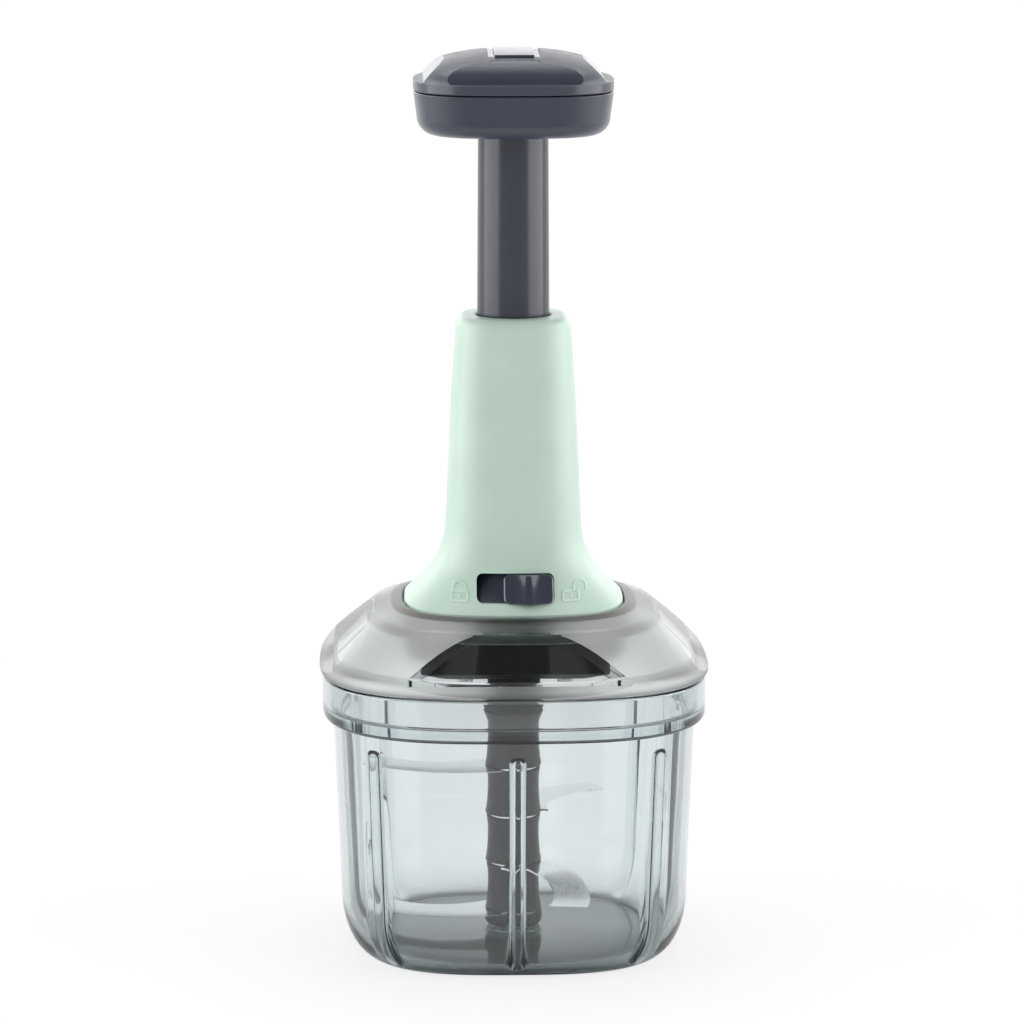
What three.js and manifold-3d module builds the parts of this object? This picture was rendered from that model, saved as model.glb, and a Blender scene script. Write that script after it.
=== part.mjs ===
// Push-down vegetable chopper: clear bowl, frosted lid with four polished facets, mint tower,
// plunger with a palm handle, and a twisted-rod drive that spins four sickle blades.
// Millimetres, +Z up, front towards -Y, origin at the centre of the bowl's underside.

import * as THREE from 'three';
import { mergeVertices } from 'three/addons/utils/BufferGeometryUtils.js';
import Module from 'manifold-3d';

const wasm = await Module();
wasm.setup();

// Fits and counts shared by all pieces

const fit = {
  seat: 0.3,        // gap between pieces that rest on or in each other
  running: 0.4,     // radial gap round a piece that turns or slides
  stack: 0.15,      // gap between a blade's root and the segments that clamp it
  overrun: 4,       // how far a cutting tool runs past the surface it cuts
  bite: 0.6,        // how deep a boss or rib sinks into the wall that carries it
  weld: 1e-4,       // vertices closer than this are one
};
const squareness = 3;      // exponent of the rounded-square plans
const wideSides = 40;      // points round the plan of the bowl and the lid
const narrowSides = 24;    // points round the plan of the tower and the handle
const roundSides = 16;     // sides of bosses, journals and flanges
const smallSides = 8;      // sides of screws and their holes

// Bowl: half widths from the underside up

const bowl = {
  baseHalf: 47,          // half width of the flat underside
  heelRun: 11.2,         // how far the heel's curve runs out
  heelHeight: 20,
  draft: 2.4,            // how much further out the neck lies than the heel
  bodyHeight: 81.7,      // underside to the collar
  wall: 2.4,
  floor: 2.6,
  heelSteps: 4,
};
const collar = {
  overhang: 3.5,         // how far it stands out over the neck
  chamfer: 0.8,
  wall: 2.7,
  shelf: 3.7,            // height of the inner ledge over the collar's bottom edge
  height: 14.3,
};
const rib = { width: 5.4, depth: 1.6, topGap: 5.5, count: 8, capSteps: 4 };
const pivotBoss = { radius: 10.5, draft: 1.1, rise: 2.6 };
const pivotPin = { radius: 2, sunk: 1, length: 14.4 };
const heelHalf = bowl.baseHalf + bowl.heelRun;
const neckHalf = heelHalf + bowl.draft;
const collarHalf = neckHalf + collar.overhang;
const collarTop = bowl.bodyHeight + collar.height;
const ledgeTop = bowl.bodyHeight + collar.shelf + fit.seat;
const bossTop = bowl.floor + pivotBoss.rise;
const pinBottom = bowl.floor - pivotPin.sunk;
const pinTop = pinBottom + pivotPin.length;

// Blade unit: it stands on the boss, and its top stays under the collar

const stack = {
  footHeight: 4.9,       // underside of the foot to the middle of the first blade
  pitch: 16.6,
  bladeCount: 4,
  collarDrop: 2.1,       // how far its top stays under the collar's bottom edge
  ringRadius: 9.6,
  waistInset: 0.95,
  shoulderInset: 0.5,
  footOverhang: 0.3,
  footRound: 2.2,
  topOverhang: 0.7,
};
const roundShare = 0.3;     // how far in from a round's ends its middle point lies
// Height share from the lower ring, and share of the flare that is left there
const segmentShares = [[0.1, 0.55], [0.3, 0.2], [0.55, 0], [0.8, 0.05]];
const hexRod = { radius: 3.4, pinGap: 2, roof: 4 };
const pivotBush = { wall: 1.5, pinProud: 1.4 };
const spigot = { radius: 6.6, rise: 10.4 };
const stackBottom = bossTop + fit.seat;
const firstBlade = stackBottom + stack.footHeight;
const stackTop = bowl.bodyHeight - stack.collarDrop;
const bushBore = pivotPin.radius + fit.running;
const bushRadius = bushBore + pivotBush.wall;
const bushTop = pinTop - pivotBush.pinProud;
const spigotTop = stackTop + spigot.rise;

// Blades: thickness, tip clearance, and the sickle's two arcs as shares of its reach

const blade = { thickness: 1, ribGap: 1.4, dip: 4, arcSteps: 9 };
const sickleShares = {
  backRadius: 0.961,            // the convex edge
  backCentre: [0.333, -0.745],
  root: 0.078,
  bellyRadius: 0.482,           // the concave edge
  bellyCentre: [0.476, -0.545],
  bellyRoot: 0.161,
  bellyTip: 0.855,
  dipStart: 0.39,               // where the bent blade starts to dip, and where it ends
  dipEnd: 0.9,
};
const bladeAzimuths = [180, -60, 60, 180];
const bladeDipShares = [0, 1, 0, 0];

// Plunger: radii from the tube out, and the parts of its length

const plunger = {
  stroke: 58,
  topRadius: 11.6,
  draft: 0.6,            // how much wider the tube is at its foot
  wall: 2.1,
  bottomGap: 1.4,        // what stays free under the nut when the handle is down
  endWall: 2.4,
  collarRise: 2.2,
  collarHeight: 3.6,
  keyGap: 0.9,
  keyHalf: 2.5,
  lugHalf: 4,
  flangeRise: 6.4,
  sides: 28,
};
const nut = { gap: 0.4, reach: 11, flangeInset: 2.4, flangeThickness: 2.7 };
const springSize = { wire: 0.7, boreGap: 1.8, turns: 10, stepsPerTurn: 8, wireSides: 4 };
const guide = { wall: 1.9, sides: 28 };
const footRadius = plunger.topRadius + plunger.draft;
const tubeBore = plunger.topRadius - plunger.wall;
const collarRadius = footRadius + plunger.collarRise;
const flangeRadius = plunger.topRadius + plunger.flangeRise;
const guideRadius = footRadius + fit.seat;
const springRadius = tubeBore - springSize.boreGap - springSize.wire;

// Tower: half widths from the guide sleeve out, and heights from its base up

const tower = {
  baseHalf: 36.5,
  baseRise: 2.3,
  flareRise: 25.2,
  midRise: 43,
  shoulderRise: 22.8,
  topRise: 3.9,
  topMargin: 2.2,         // from the guide sleeve to the edge of the flat top
  topRound: 2.5,
  shoulderDraft: 1.6,
  midDraft: 1.9,
  wall: 2.2,
  clearance: 0.6,
  flareSteps: 6,
};
const shoulderShares = [0.3, 0.65];   // how far in and how far up the shoulder's middle line lies
const flareShares = [[0.396, 0.23], [0.928, 0.397]];   // the flare's two control points
const rail = { collarGap: 1, thickness: 1.7 };
const towerBoss = { radius: 3.4, keyGap: 2.4, y: 7.5, pilotGap: 1.7 };
const towerTopHalf = guideRadius + guide.wall + tower.topMargin;
const shoulderHalf = towerTopHalf + tower.topRound;
const midHalf = shoulderHalf + tower.shoulderDraft;
const flareTopHalf = midHalf + tower.midDraft;
const keyReach = midHalf - tower.wall - plunger.keyGap;
const towerBossX = keyReach + towerBoss.keyGap;

// Lid: half widths from the collar in, and from the tower out

const lid = {
  overhang: 0.9,          // how far the rim stands out over the collar
  rimRise: 2.7,           // height of the upright rim band
  coneInset: 0.4,
  coneFootRise: 4,
  coneRise: 19,           // rim's bottom edge to the cone's top edge
  lipWall: 1.1,
  lipSpread: 8.8,
  lipRise: 3.1,
  wall: 2.3,
  deckThickness: 2.3,
  recessDepth: 2.2,
};
const lipShares = [0.5, 0.6];   // how far in and how far up the lip's middle line lies
const facet = { topInset: 0.1, depth: 3.6, lowDrop: 0, ledgeDrop: 0.7 };
const ledgeShare = 0.5;         // fall of the ledge under a facet, as a share of its run
const skirt = { clearance: 0.5, wall: 2.2 };
const lidPost = { radius: 3.5, offset: 18 };
const bearing = { wall: 2.6 };
const lidHalf = collarHalf + lid.overhang;
const coneFootHalf = lidHalf - lid.coneInset;
const lipHalf = tower.baseHalf + tower.clearance + lid.lipWall;
const coneTopHalf = lipHalf + lid.lipSpread;
const facetTopHalf = coneTopHalf - facet.topInset;
const skirtOuter = collarHalf - collar.wall - skirt.clearance;
const skirtInner = skirtOuter - skirt.wall;
const skirtBottom = ledgeTop + fit.seat;
const lidBottom = collarTop + fit.seat;
const coneTop = lidBottom + lid.coneRise;
const lipTop = coneTop + lid.lipRise;
const recessFloor = lipTop - lid.recessDepth;
const deckBottom = recessFloor - lid.deckThickness;
const towerBottom = recessFloor + fit.seat;
const flareBottom = towerBottom + tower.baseRise;
const flareTop = flareBottom + tower.flareRise;
const midHeight = flareTop + tower.midRise;
const shoulderHeight = midHeight + tower.shoulderRise;
const towerTop = shoulderHeight + tower.topRise;

// Lock

const lockSlot = { halfWidth: 12.8, rise: 4.3, height: 9.9, corner: 1.7, cornerSteps: 2, wall: 1.3 };
const lockSlide = { travel: 8.7, overlap: 0.9, thickness: 1.6, margin: 1.3 };
const lockKnob = { endGap: 0.25, proud: 0.9, ribSpread: 2.4, ribProud: 2.9, flankSteps: 5, heightSteps: 3 };
const latch = { halfWidth: 2, thickness: 3, rise: 0.5, tubeGap: 1.2 };
const slotBottom = towerBottom + lockSlot.rise;
const slotTop = slotBottom + lockSlot.height;
const knobHalf = lockSlot.halfWidth - lockSlide.travel / 2 - lockKnob.endGap;

// Screws

const screw = { shank: 1.25, headRadius: 2.9, headHeight: 1.7, clearance: 0.4 };
const coverScrewLength = 11;
const towerScrewLength = 11;
const handleScrew = { tubeGap: 3.6, length: 6.5 };
const pilotRadius = screw.shank + fit.seat;
const handleScrewX = plunger.topRadius + handleScrew.tubeGap;

// Gear cover

const cover = { rise: 1.8, margin: 7, draft: 1.3, wall: 2, sleeveGap: 0.5 };
const coverBottom = lidBottom + cover.rise;
const coverFloorTop = coverBottom + cover.wall;
const coverTopHalf = lidPost.offset + lidPost.radius + cover.wall + cover.margin;
const coverBottomHalf = coverTopHalf - cover.draft;

// Drive, from the hub in the bowl up to the rod

const hub = {
  flangeRadius: 11.5,
  flangeThickness: 2.4,
  journal: 6.4,
  cupWall: 2.45,
  lipProud: 0.95,
  lipHeight: 5.4,
  lipRound: 1.4,
  stackGap: 0.6,
  socketGap: 0.7,
  roof: 1.8,
};
const washer = { thickness: 0.8, inset: 0.9 };
const clutch = { teeth: 8, outerInset: 0.7, innerGap: 0.6, height: 1.3, steps: 2 };
const clutchFreeShare = 0.05;
const driver = { thickness: 2.6, neck: 6.4, web: 1.1 };
const bush = { wall: 1.7, flangeRise: 2.4, flangeThickness: 1.1 };
const rod = { lead: 29, halfWidth: 3.2, halfThickness: 1.1, nutProud: 5, stepAngle: 15, slotGap: 0.45 };
const springCap = { gap: 0.9, thickness: 2, spigotGap: 1.1, spigotHeight: 4 };
const hubBottom = stackTop + hub.stackGap;
const hubSocketTop = spigotTop + hub.socketGap;
const cupTop = hubSocketTop + hub.roof;
const cupRadius = spigot.radius + fit.running + hub.cupWall;
const sleeveBottom = cupTop + cover.sleeveGap;
const washerBottom = coverFloorTop + fit.seat;
const hubFlangeBottom = washerBottom + washer.thickness + fit.seat;
const hubFlangeTop = hubFlangeBottom + hub.flangeThickness;
const driverDiscBottom = hubFlangeTop + clutch.height + fit.seat;
const driverDiscTop = driverDiscBottom + driver.thickness;
const bearingBottom = driverDiscTop + fit.running;
const bearingBore = driver.neck + fit.running + bush.wall + fit.seat;
const neckTop = towerBottom + bush.flangeThickness;
const rodBottom = driverDiscBottom + driver.web;

// Heights of the plunger and the handle at rest, with the handle up

const nutBottom = neckTop + plunger.bottomGap + plunger.stroke;
const plungerBottom = nutBottom + nut.flangeThickness + fit.seat;
const plungerCollarTop = plungerBottom + plunger.collarHeight;
const nutTop = plungerBottom + nut.reach;
const rodTop = nutTop + rod.nutProud;
const latchBottom = plungerCollarTop - plunger.stroke + latch.rise;

// Handle: half widths from the tube's flange out, and heights from its underside up

const handle = {
  towerGap: 2.8,         // what stays free over the tower when the handle is down
  bottomMargin: 8.5,
  roundHeight: 5.4,
  roundRun: 5.4,
  sideDraft: 1.1,
  seamRise: 12.8,
  tubeRise: 9.6,
  wall: 2.3,
  floor: 2.3,
  roundSteps: 4,
  bandRise: 3.2,
  coneInset: 0.3,
  coneFootRise: 4,
  coneRun: 10,
  coneRise: 10.8,
  crownInset: 11.7,
  crownRise: 2.2,
  peakInset: 7.3,
  peakRise: 0.3,
  underCone: 5,          // depth of the hollow's roof under the cone's top edge
};
const handleFacet = { topInset: 0, depth: 3.4, lowDrop: 0.3, ledgeDrop: 0.3 };
const pad = { halfWidth: 6.6, endMargin: 4.7, proud: 0.7, depth: 1.3, groove: 1.6 };
const handleBottom = towerTop + handle.towerGap + plunger.stroke;
const handleRoundTop = handleBottom + handle.roundHeight;
const handleSeam = handleBottom + handle.seamRise;
const handleCoverBottom = handleSeam + fit.seat;
const handleConeTop = handleCoverBottom + handle.coneRise;
const crownTop = handleConeTop + handle.crownRise;
const peakTop = crownTop + handle.peakRise;
const handleBottomHalf = flangeRadius + handle.bottomMargin;
const handleRoundHalf = handleBottomHalf + handle.roundRun;
const handleHalf = handleRoundHalf + handle.sideDraft;
const handleConeFootHalf = handleHalf - handle.coneInset;
const handleConeTopHalf = handleConeFootHalf - handle.coneRun;
const crownHalf = handleConeTopHalf - handle.crownInset;
const peakHalf = crownHalf - handle.peakInset;
const padHalfLength = handleConeTopHalf - pad.endMargin;
const plungerTop = handleBottom + handle.tubeRise;
const flangeBottom = plungerTop - plunger.endWall;
const springBottom = rodTop + fit.seat + springCap.thickness + fit.seat + springSize.wire;
const springTop = flangeBottom - fit.seat - springSize.wire;

// Geometry helpers

function toSolid(geometry) {
  const bare = geometry.clone();
  bare.deleteAttribute('normal');
  bare.deleteAttribute('uv');
  const merged = mergeVertices(bare, fit.weld);
  return new wasm.Manifold(new wasm.Mesh({
    numProp: 3,
    vertProperties: new Float32Array(merged.attributes.position.array),
    triVerts: new Uint32Array(merged.index.array),
  }));
}

function toGeometry(solid) {
  const mesh = solid.getMesh();
  const geometry = new THREE.BufferGeometry();
  geometry.setAttribute('position', new THREE.BufferAttribute(mesh.vertProperties, 3));
  geometry.setIndex(new THREE.BufferAttribute(mesh.triVerts, 1));
  geometry.computeVertexNormals();
  return geometry;
}

function addAll(first, others) {
  return others.reduce((sum, other) => sum.add(other), first);
}

function cutAll(first, others) {
  return others.reduce((rest, other) => rest.subtract(other), first);
}

// A skin through rings of equal point count, closed by a flat cap at each end.
function loft(rings) {
  const count = rings[0].length;
  const positions = rings.flat(2);
  const index = [];
  for (let level = 0; level + 1 < rings.length; level += 1) {
    for (let step = 0; step < count; step += 1) {
      const next = (step + 1) % count;
      const low = level * count;
      const high = low + count;
      index.push(low + step, low + next, high + next);
      index.push(low + step, high + next, high + step);
    }
  }
  const capOf = (ring) => THREE.ShapeUtils.triangulateShape(
    ring.map(([x, y]) => new THREE.Vector2(x, y)), []);
  const last = (rings.length - 1) * count;
  for (const [a, b, c] of capOf(rings[0])) {
    index.push(a, c, b);
  }
  for (const [a, b, c] of capOf(rings[rings.length - 1])) {
    index.push(last + a, last + b, last + c);
  }
  const geometry = new THREE.BufferGeometry();
  geometry.setAttribute('position', new THREE.Float32BufferAttribute(positions, 3));
  geometry.setIndex(index);
  return geometry;
}

// A wire's skin, whose end caps face along the wire.
function wireMesh(rings) {
  const count = rings[0].length;
  const index = [];
  for (let level = 0; level + 1 < rings.length; level += 1) {
    for (let side = 0; side < count; side += 1) {
      const next = (side + 1) % count;
      const low = level * count;
      const high = low + count;
      index.push(low + side, low + next, high + next);
      index.push(low + side, high + next, high + side);
    }
  }
  const last = (rings.length - 1) * count;
  for (let side = 1; side + 1 < count; side += 1) {
    index.push(0, side + 1, side);
    index.push(last, last + side, last + side + 1);
  }
  const geometry = new THREE.BufferGeometry();
  geometry.setAttribute('position', new THREE.Float32BufferAttribute(rings.flat(2), 3));
  geometry.setIndex(index);
  return geometry;
}

// One level of a rounded-square plan.
function planRing(half, z, sides) {
  const ring = [];
  for (let step = 0; step < sides; step += 1) {
    const angle = (2 * Math.PI * step) / sides;
    const across = Math.abs(Math.cos(angle)) ** squareness + Math.abs(Math.sin(angle)) ** squareness;
    const radius = half / across ** (1 / squareness);
    ring.push([radius * Math.cos(angle), radius * Math.sin(angle), z]);
  }
  return ring;
}

// Solid whose plan is a rounded square at every [half width, height] of the profile.
function roundedSquare(profile, sides) {
  return toSolid(loft(profile.map(([half, z]) => planRing(half, z, sides))));
}

// Quarter of an ellipse from a flat bottom edge to an upright side, as [half width, height].
function heelArc(fromHalf, fromZ, toHalf, toZ, steps) {
  const arc = [];
  for (let step = 0; step <= steps; step += 1) {
    const angle = (Math.PI / 2) * (step / steps);
    const half = fromHalf + (toHalf - fromHalf) * Math.sin(angle);
    const z = fromZ + (toZ - fromZ) * (1 - Math.cos(angle));
    arc.push([half, z]);
  }
  return arc;
}

function turned(points, sides) {
  const profile = points.map(([radius, z]) => new THREE.Vector2(radius, z));
  return toSolid(new THREE.LatheGeometry(profile, sides).rotateX(Math.PI / 2));
}

function cylinder(radius, bottom, top, sides, x = 0, y = 0) {
  const geometry = new THREE.CylinderGeometry(radius, radius, top - bottom, sides);
  return toSolid(geometry.rotateX(Math.PI / 2).translate(x, y, (bottom + top) / 2));
}

function block(xs, ys, zs) {
  const sizes = [xs, ys, zs].map(([from, to]) => Math.abs(to - from));
  const middle = [xs, ys, zs].map(([from, to]) => (from + to) / 2);
  return toSolid(new THREE.BoxGeometry(...sizes).translate(...middle));
}

// Flat outline in X and Z, pushed along Y from one depth to another.
function prismAlongY(outline, fromY, toY) {
  const shape = new THREE.Shape(outline.map(([x, z]) => new THREE.Vector2(x, z)));
  const geometry = new THREE.ExtrudeGeometry(shape, { depth: toY - fromY, bevelEnabled: false });
  return geometry.rotateX(Math.PI / 2).translate(0, toY, 0);
}

function spun(geometry, angle) {
  return toSolid(geometry.clone().rotateZ(angle));
}

function roundedOutline(halfWidth, bottom, height, corner, steps) {
  const outline = [];
  const corners = [[1, 1, 0], [-1, 1, 1], [-1, -1, 2], [1, -1, 3]];
  for (const [sideX, sideZ, quarter] of corners) {
    const centreX = sideX * (halfWidth - corner);
    const centreZ = bottom + height / 2 + sideZ * (height / 2 - corner);
    for (let step = 0; step <= steps; step += 1) {
      const angle = (Math.PI / 2) * (quarter + step / steps);
      outline.push([centreX + corner * Math.cos(angle), centreZ + corner * Math.sin(angle)]);
    }
  }
  return outline;
}

function fourPlaces(x, y) {
  return [[x, y], [-x, y], [-x, -y], [x, -y]];
}

// The four polished facets, as wedges to be cut off a rounded-square cone.
function facetCuts(size, footHalf, footZ, topHalf, topZ, reach) {
  const lowHalf = footHalf - size.depth;
  const lowZ = footZ - size.lowDrop;
  const ledgeZ = lowZ - size.ledgeDrop;
  const slope = (lowHalf - topHalf) / (topZ - lowZ);
  const halfAt = (z) => lowHalf + slope * (lowZ - z);
  const wedge = [
    [halfAt(ledgeZ), ledgeZ],
    [reach + fit.overrun, ledgeZ - ledgeShare * (reach + fit.overrun - halfAt(ledgeZ))],
    [reach + fit.overrun, topZ + fit.overrun],
    [halfAt(topZ + fit.overrun), topZ + fit.overrun],
  ];
  const geometry = prismAlongY(wedge, -reach, reach);
  return [0, 1, 2, 3].map((quarter) => spun(geometry, (quarter * Math.PI) / 2));
}

// Bowl pieces

function bowlOuterProfile(inset, from) {
  return [
    ...heelArc(bowl.baseHalf - inset, from, heelHalf - inset, bowl.heelHeight, bowl.heelSteps),
    [neckHalf - inset, bowl.bodyHeight],
  ];
}

function bowlRibs() {
  const buried = bowlOuterProfile(bowl.wall - fit.bite, bowl.floor - fit.bite);
  const crest = bowlOuterProfile(bowl.wall + rib.depth, bowl.floor - fit.bite);
  const band = roundedSquare(buried, wideSides).subtract(roundedSquare(crest, wideSides));
  const halfWidth = rib.width / 2;
  const outline = [[-halfWidth, 0], [halfWidth, 0]];
  for (let step = 0; step <= rib.capSteps; step += 1) {
    const angle = Math.PI * (step / rib.capSteps);
    const rise = halfWidth * Math.sin(angle);
    outline.push([halfWidth * Math.cos(angle), bowl.bodyHeight - rib.topGap - halfWidth + rise]);
  }
  const strip = prismAlongY(outline, bowl.baseHalf / 2, collarHalf + fit.overrun);
  const ribs = [];
  for (let place = 0; place < rib.count; place += 1) {
    const angle = (2 * Math.PI * place) / rib.count;
    ribs.push(spun(strip, angle).intersect(band));
  }
  return ribs;
}

function bowlSolid() {
  const outer = roundedSquare([
    ...bowlOuterProfile(0, 0),
    [collarHalf - collar.chamfer, bowl.bodyHeight],
    [collarHalf, bowl.bodyHeight + collar.chamfer],
    [collarHalf, collarTop],
  ], wideSides);
  const inner = roundedSquare([
    ...bowlOuterProfile(bowl.wall, bowl.floor),
    [neckHalf - bowl.wall, ledgeTop - fit.seat],
    [collarHalf - collar.wall, ledgeTop],
    [collarHalf - collar.wall, collarTop + fit.overrun],
  ], wideSides);
  const boss = turned([
    [0, bowl.floor - fit.bite],
    [pivotBoss.radius, bowl.floor - fit.bite],
    [pivotBoss.radius - pivotBoss.draft, bossTop],
    [0, bossTop],
  ], roundSides);
  const pinHole = cylinder(pivotPin.radius + fit.seat, pinBottom - fit.seat,
    bossTop + fit.overrun, smallSides);
  return addAll(outer.subtract(inner), [...bowlRibs(), boss]).subtract(pinHole);
}

function pivotPinSolid() {
  return turned([
    [0, pinBottom],
    [pivotPin.radius, pinBottom],
    [pivotPin.radius, pinTop - pivotPin.radius / 2],
    [pivotPin.radius / 2, pinTop],
    [0, pinTop],
  ], smallSides);
}

// Blade unit pieces

function ringHeight(place) {
  return firstBlade + stack.pitch * place;
}

function hexBore(bottom, top) {
  return cylinder(hexRod.radius + fit.seat, bottom, top, 6);
}

function footSolid() {
  const top = firstBlade - blade.thickness / 2 - fit.stack;
  const footRim = stack.ringRadius + stack.footOverhang;
  const body = turned([
    [0, stackBottom],
    [footRim - stack.footRound, stackBottom],
    [footRim - stack.footRound * roundShare, stackBottom + stack.footRound * roundShare],
    [footRim, stackBottom + stack.footRound],
    [stack.ringRadius, top],
    [0, top],
  ], roundSides);
  return body.subtract(cylinder(bushRadius + fit.running, stackBottom - fit.overrun, top + fit.overrun,
    smallSides));
}

// A bamboo-like segment: it narrows under its upper ring and flares down to its lower one.
function segmentBody(bottom, top, topRadius) {
  const height = top - bottom;
  const sides = segmentShares.map(([heightShare, flareShare]) => [
    stack.ringRadius - stack.waistInset * (1 - flareShare),
    bottom + height * heightShare,
  ]);
  return turned([
    [0, bottom],
    [stack.ringRadius, bottom],
    ...sides,
    [topRadius, top],
    [0, top],
  ], roundSides);
}

function segmentSolid(place) {
  const bottom = ringHeight(place) + blade.thickness / 2 + fit.stack;
  const top = ringHeight(place + 1) - blade.thickness / 2 - fit.stack;
  const body = segmentBody(bottom, top, stack.ringRadius - stack.shoulderInset);
  const bores = [hexBore(bottom - fit.overrun, top + fit.overrun)];
  if (place === 0) {
    bores.push(cylinder(bushRadius + fit.running, bottom - fit.overrun, bushTop + fit.seat, smallSides));
  }
  return cutAll(body, bores);
}

function topSegmentSolid() {
  const bottom = ringHeight(stack.bladeCount - 1) + blade.thickness / 2 + fit.stack;
  const body = segmentBody(bottom, stackTop, stack.ringRadius + stack.topOverhang);
  const drive = cylinder(spigot.radius, stackTop - fit.bite, spigotTop, 6);
  return body.add(drive).subtract(hexBore(bottom - fit.overrun, spigotTop - hexRod.roof + fit.seat));
}

function pivotBushSolid() {
  const body = cylinder(bushRadius, stackBottom, bushTop, smallSides);
  return body.subtract(cylinder(bushBore, stackBottom - fit.overrun, bushTop + fit.overrun, smallSides));
}

// Half width of the clear space inside the ribs, at a height in the heel.
function clearHalfAt(z) {
  const crestFoot = bowl.floor - fit.bite;
  const rise = Math.min(1, (z - crestFoot) / (bowl.heelHeight - crestFoot));
  const run = bowl.heelRun * Math.sqrt(1 - (1 - rise) ** 2);
  return bowl.baseHalf + run - bowl.wall - rib.depth;
}

function arcPoint(centreShares, radiusShare, xShare) {
  const rise = Math.sqrt(radiusShare ** 2 - (xShare - centreShares[0]) ** 2);
  return [xShare, centreShares[1] + rise];
}

// Outline of one sickle of unit reach: the convex edge from root to tip, then the concave edge back.
function sickleOutline() {
  const shares = sickleShares;
  const points = [];
  for (let step = 0; step <= blade.arcSteps; step += 1) {
    const x = THREE.MathUtils.lerp(shares.root, 1, step / blade.arcSteps);
    points.push(arcPoint(shares.backCentre, shares.backRadius, x));
  }
  for (let step = 0; step <= blade.arcSteps; step += 1) {
    const x = THREE.MathUtils.lerp(shares.bellyTip, shares.bellyRoot, step / blade.arcSteps);
    points.push(arcPoint(shares.bellyCentre, shares.bellyRadius, x));
  }
  return points;
}

function bladeSolid(place) {
  const reach = clearHalfAt(firstBlade) - blade.ribGap;
  const outline = sickleOutline().map(([x, y]) => new THREE.Vector2(x * reach, y * reach));
  const geometry = new THREE.ExtrudeGeometry(new THREE.Shape(outline),
    { depth: blade.thickness, bevelEnabled: false });
  const position = geometry.attributes.position;
  for (let vertex = 0; vertex < position.count; vertex += 1) {
    const away = Math.hypot(position.getX(vertex), position.getY(vertex)) / reach;
    const share = THREE.MathUtils.smoothstep(away, sickleShares.dipStart, sickleShares.dipEnd);
    position.setZ(vertex, position.getZ(vertex) - share * blade.dip * bladeDipShares[place]);
  }
  const bottom = ringHeight(place) - blade.thickness / 2;
  geometry.translate(0, 0, bottom);
  const arm = spun(geometry, THREE.MathUtils.degToRad(bladeAzimuths[place]));
  const ring = cylinder(stack.ringRadius, bottom, bottom + blade.thickness, roundSides);
  const root = arm.add(ring);
  if (place === 0) {
    return root.subtract(cylinder(bushRadius + fit.running, bottom - fit.overrun, bottom + fit.overrun,
      smallSides));
  }
  return root.subtract(hexBore(bottom - fit.overrun, bottom + fit.overrun));
}

function hexRodSolid() {
  return cylinder(hexRod.radius, pinTop + hexRod.pinGap, spigotTop - hexRod.roof, 6);
}

// Lid pieces

function lidOuterSolid() {
  const body = roundedSquare([
    [lidHalf, lidBottom],
    [lidHalf, lidBottom + lid.rimRise],
    [coneFootHalf, lidBottom + lid.coneFootRise],
    [coneTopHalf, coneTop],
    [coneTopHalf - lid.lipSpread * lipShares[0], coneTop + lid.lipRise * lipShares[1]],
    [lipHalf, lipTop],
  ], wideSides);
  const cuts = facetCuts(facet, coneFootHalf, lidBottom + lid.coneFootRise, facetTopHalf, coneTop, lidHalf);
  return cutAll(body, cuts);
}

function lidSolid() {
  const plug = roundedSquare([
    [skirtOuter, skirtBottom],
    [skirtOuter, lidBottom + fit.bite],
  ], wideSides);
  const slope = (lid.coneRise - lid.coneFootRise) / (coneFootHalf - coneTopHalf);
  const underside = (half) => coneTop - lid.wall * 2 - (half - coneTopHalf) * slope;
  const hollow = roundedSquare([
    [skirtInner, skirtBottom - fit.overrun],
    [skirtInner, underside(skirtInner)],
    [coneTopHalf, underside(coneTopHalf)],
    [tower.baseHalf, deckBottom],
  ], wideSides);
  const recess = roundedSquare([
    [tower.baseHalf + tower.clearance, recessFloor],
    [tower.baseHalf + tower.clearance, lipTop + fit.overrun],
  ], wideSides);
  const posts = fourPlaces(lidPost.offset, lidPost.offset).map(([x, y]) => (
    cylinder(lidPost.radius, coverFloorTop + fit.seat, deckBottom + fit.bite, smallSides, x, y)));
  const pilots = fourPlaces(lidPost.offset, lidPost.offset).map(([x, y]) => (
    cylinder(pilotRadius, coverFloorTop, coverFloorTop + coverScrewLength, smallSides, x, y)));
  const housing = cylinder(bearingBore + bearing.wall, bearingBottom, recessFloor, roundSides);
  const bore = cylinder(bearingBore, bearingBottom - fit.overrun, recessFloor + fit.overrun, roundSides);
  const screwHoles = fourPlaces(towerBossX, towerBoss.y).map(([x, y]) => (
    cylinder(pilotRadius, deckBottom - fit.overrun, recessFloor + fit.overrun, smallSides, x, y)));
  const shell = addAll(lidOuterSolid(), [plug]);
  const hollowed = cutAll(shell, [hollow, recess]);
  return cutAll(addAll(hollowed, [...posts, housing]), [...pilots, bore, ...screwHoles]);
}

function coverSolid() {
  const top = deckBottom - fit.seat;
  const outer = roundedSquare([
    [coverBottomHalf - cover.wall / 2, coverBottom],
    [coverBottomHalf, coverBottom + cover.wall / 2],
    [coverTopHalf, top],
  ], narrowSides);
  const inner = roundedSquare([
    [coverBottomHalf - cover.wall, coverFloorTop],
    [coverTopHalf - cover.wall, top + fit.overrun],
  ], narrowSides);
  const sleeve = cylinder(cupRadius, sleeveBottom, coverBottom + fit.bite, roundSides);
  const bore = cylinder(hub.journal + fit.running, sleeveBottom - fit.overrun,
    coverFloorTop + fit.overrun, roundSides);
  const holes = fourPlaces(lidPost.offset, lidPost.offset).map(([x, y]) => (
    cylinder(screw.shank + screw.clearance, coverBottom - fit.overrun, coverFloorTop + fit.overrun,
      smallSides, x, y)));
  return cutAll(outer.subtract(inner).add(sleeve), [bore, ...holes]);
}

// Tower pieces

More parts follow.
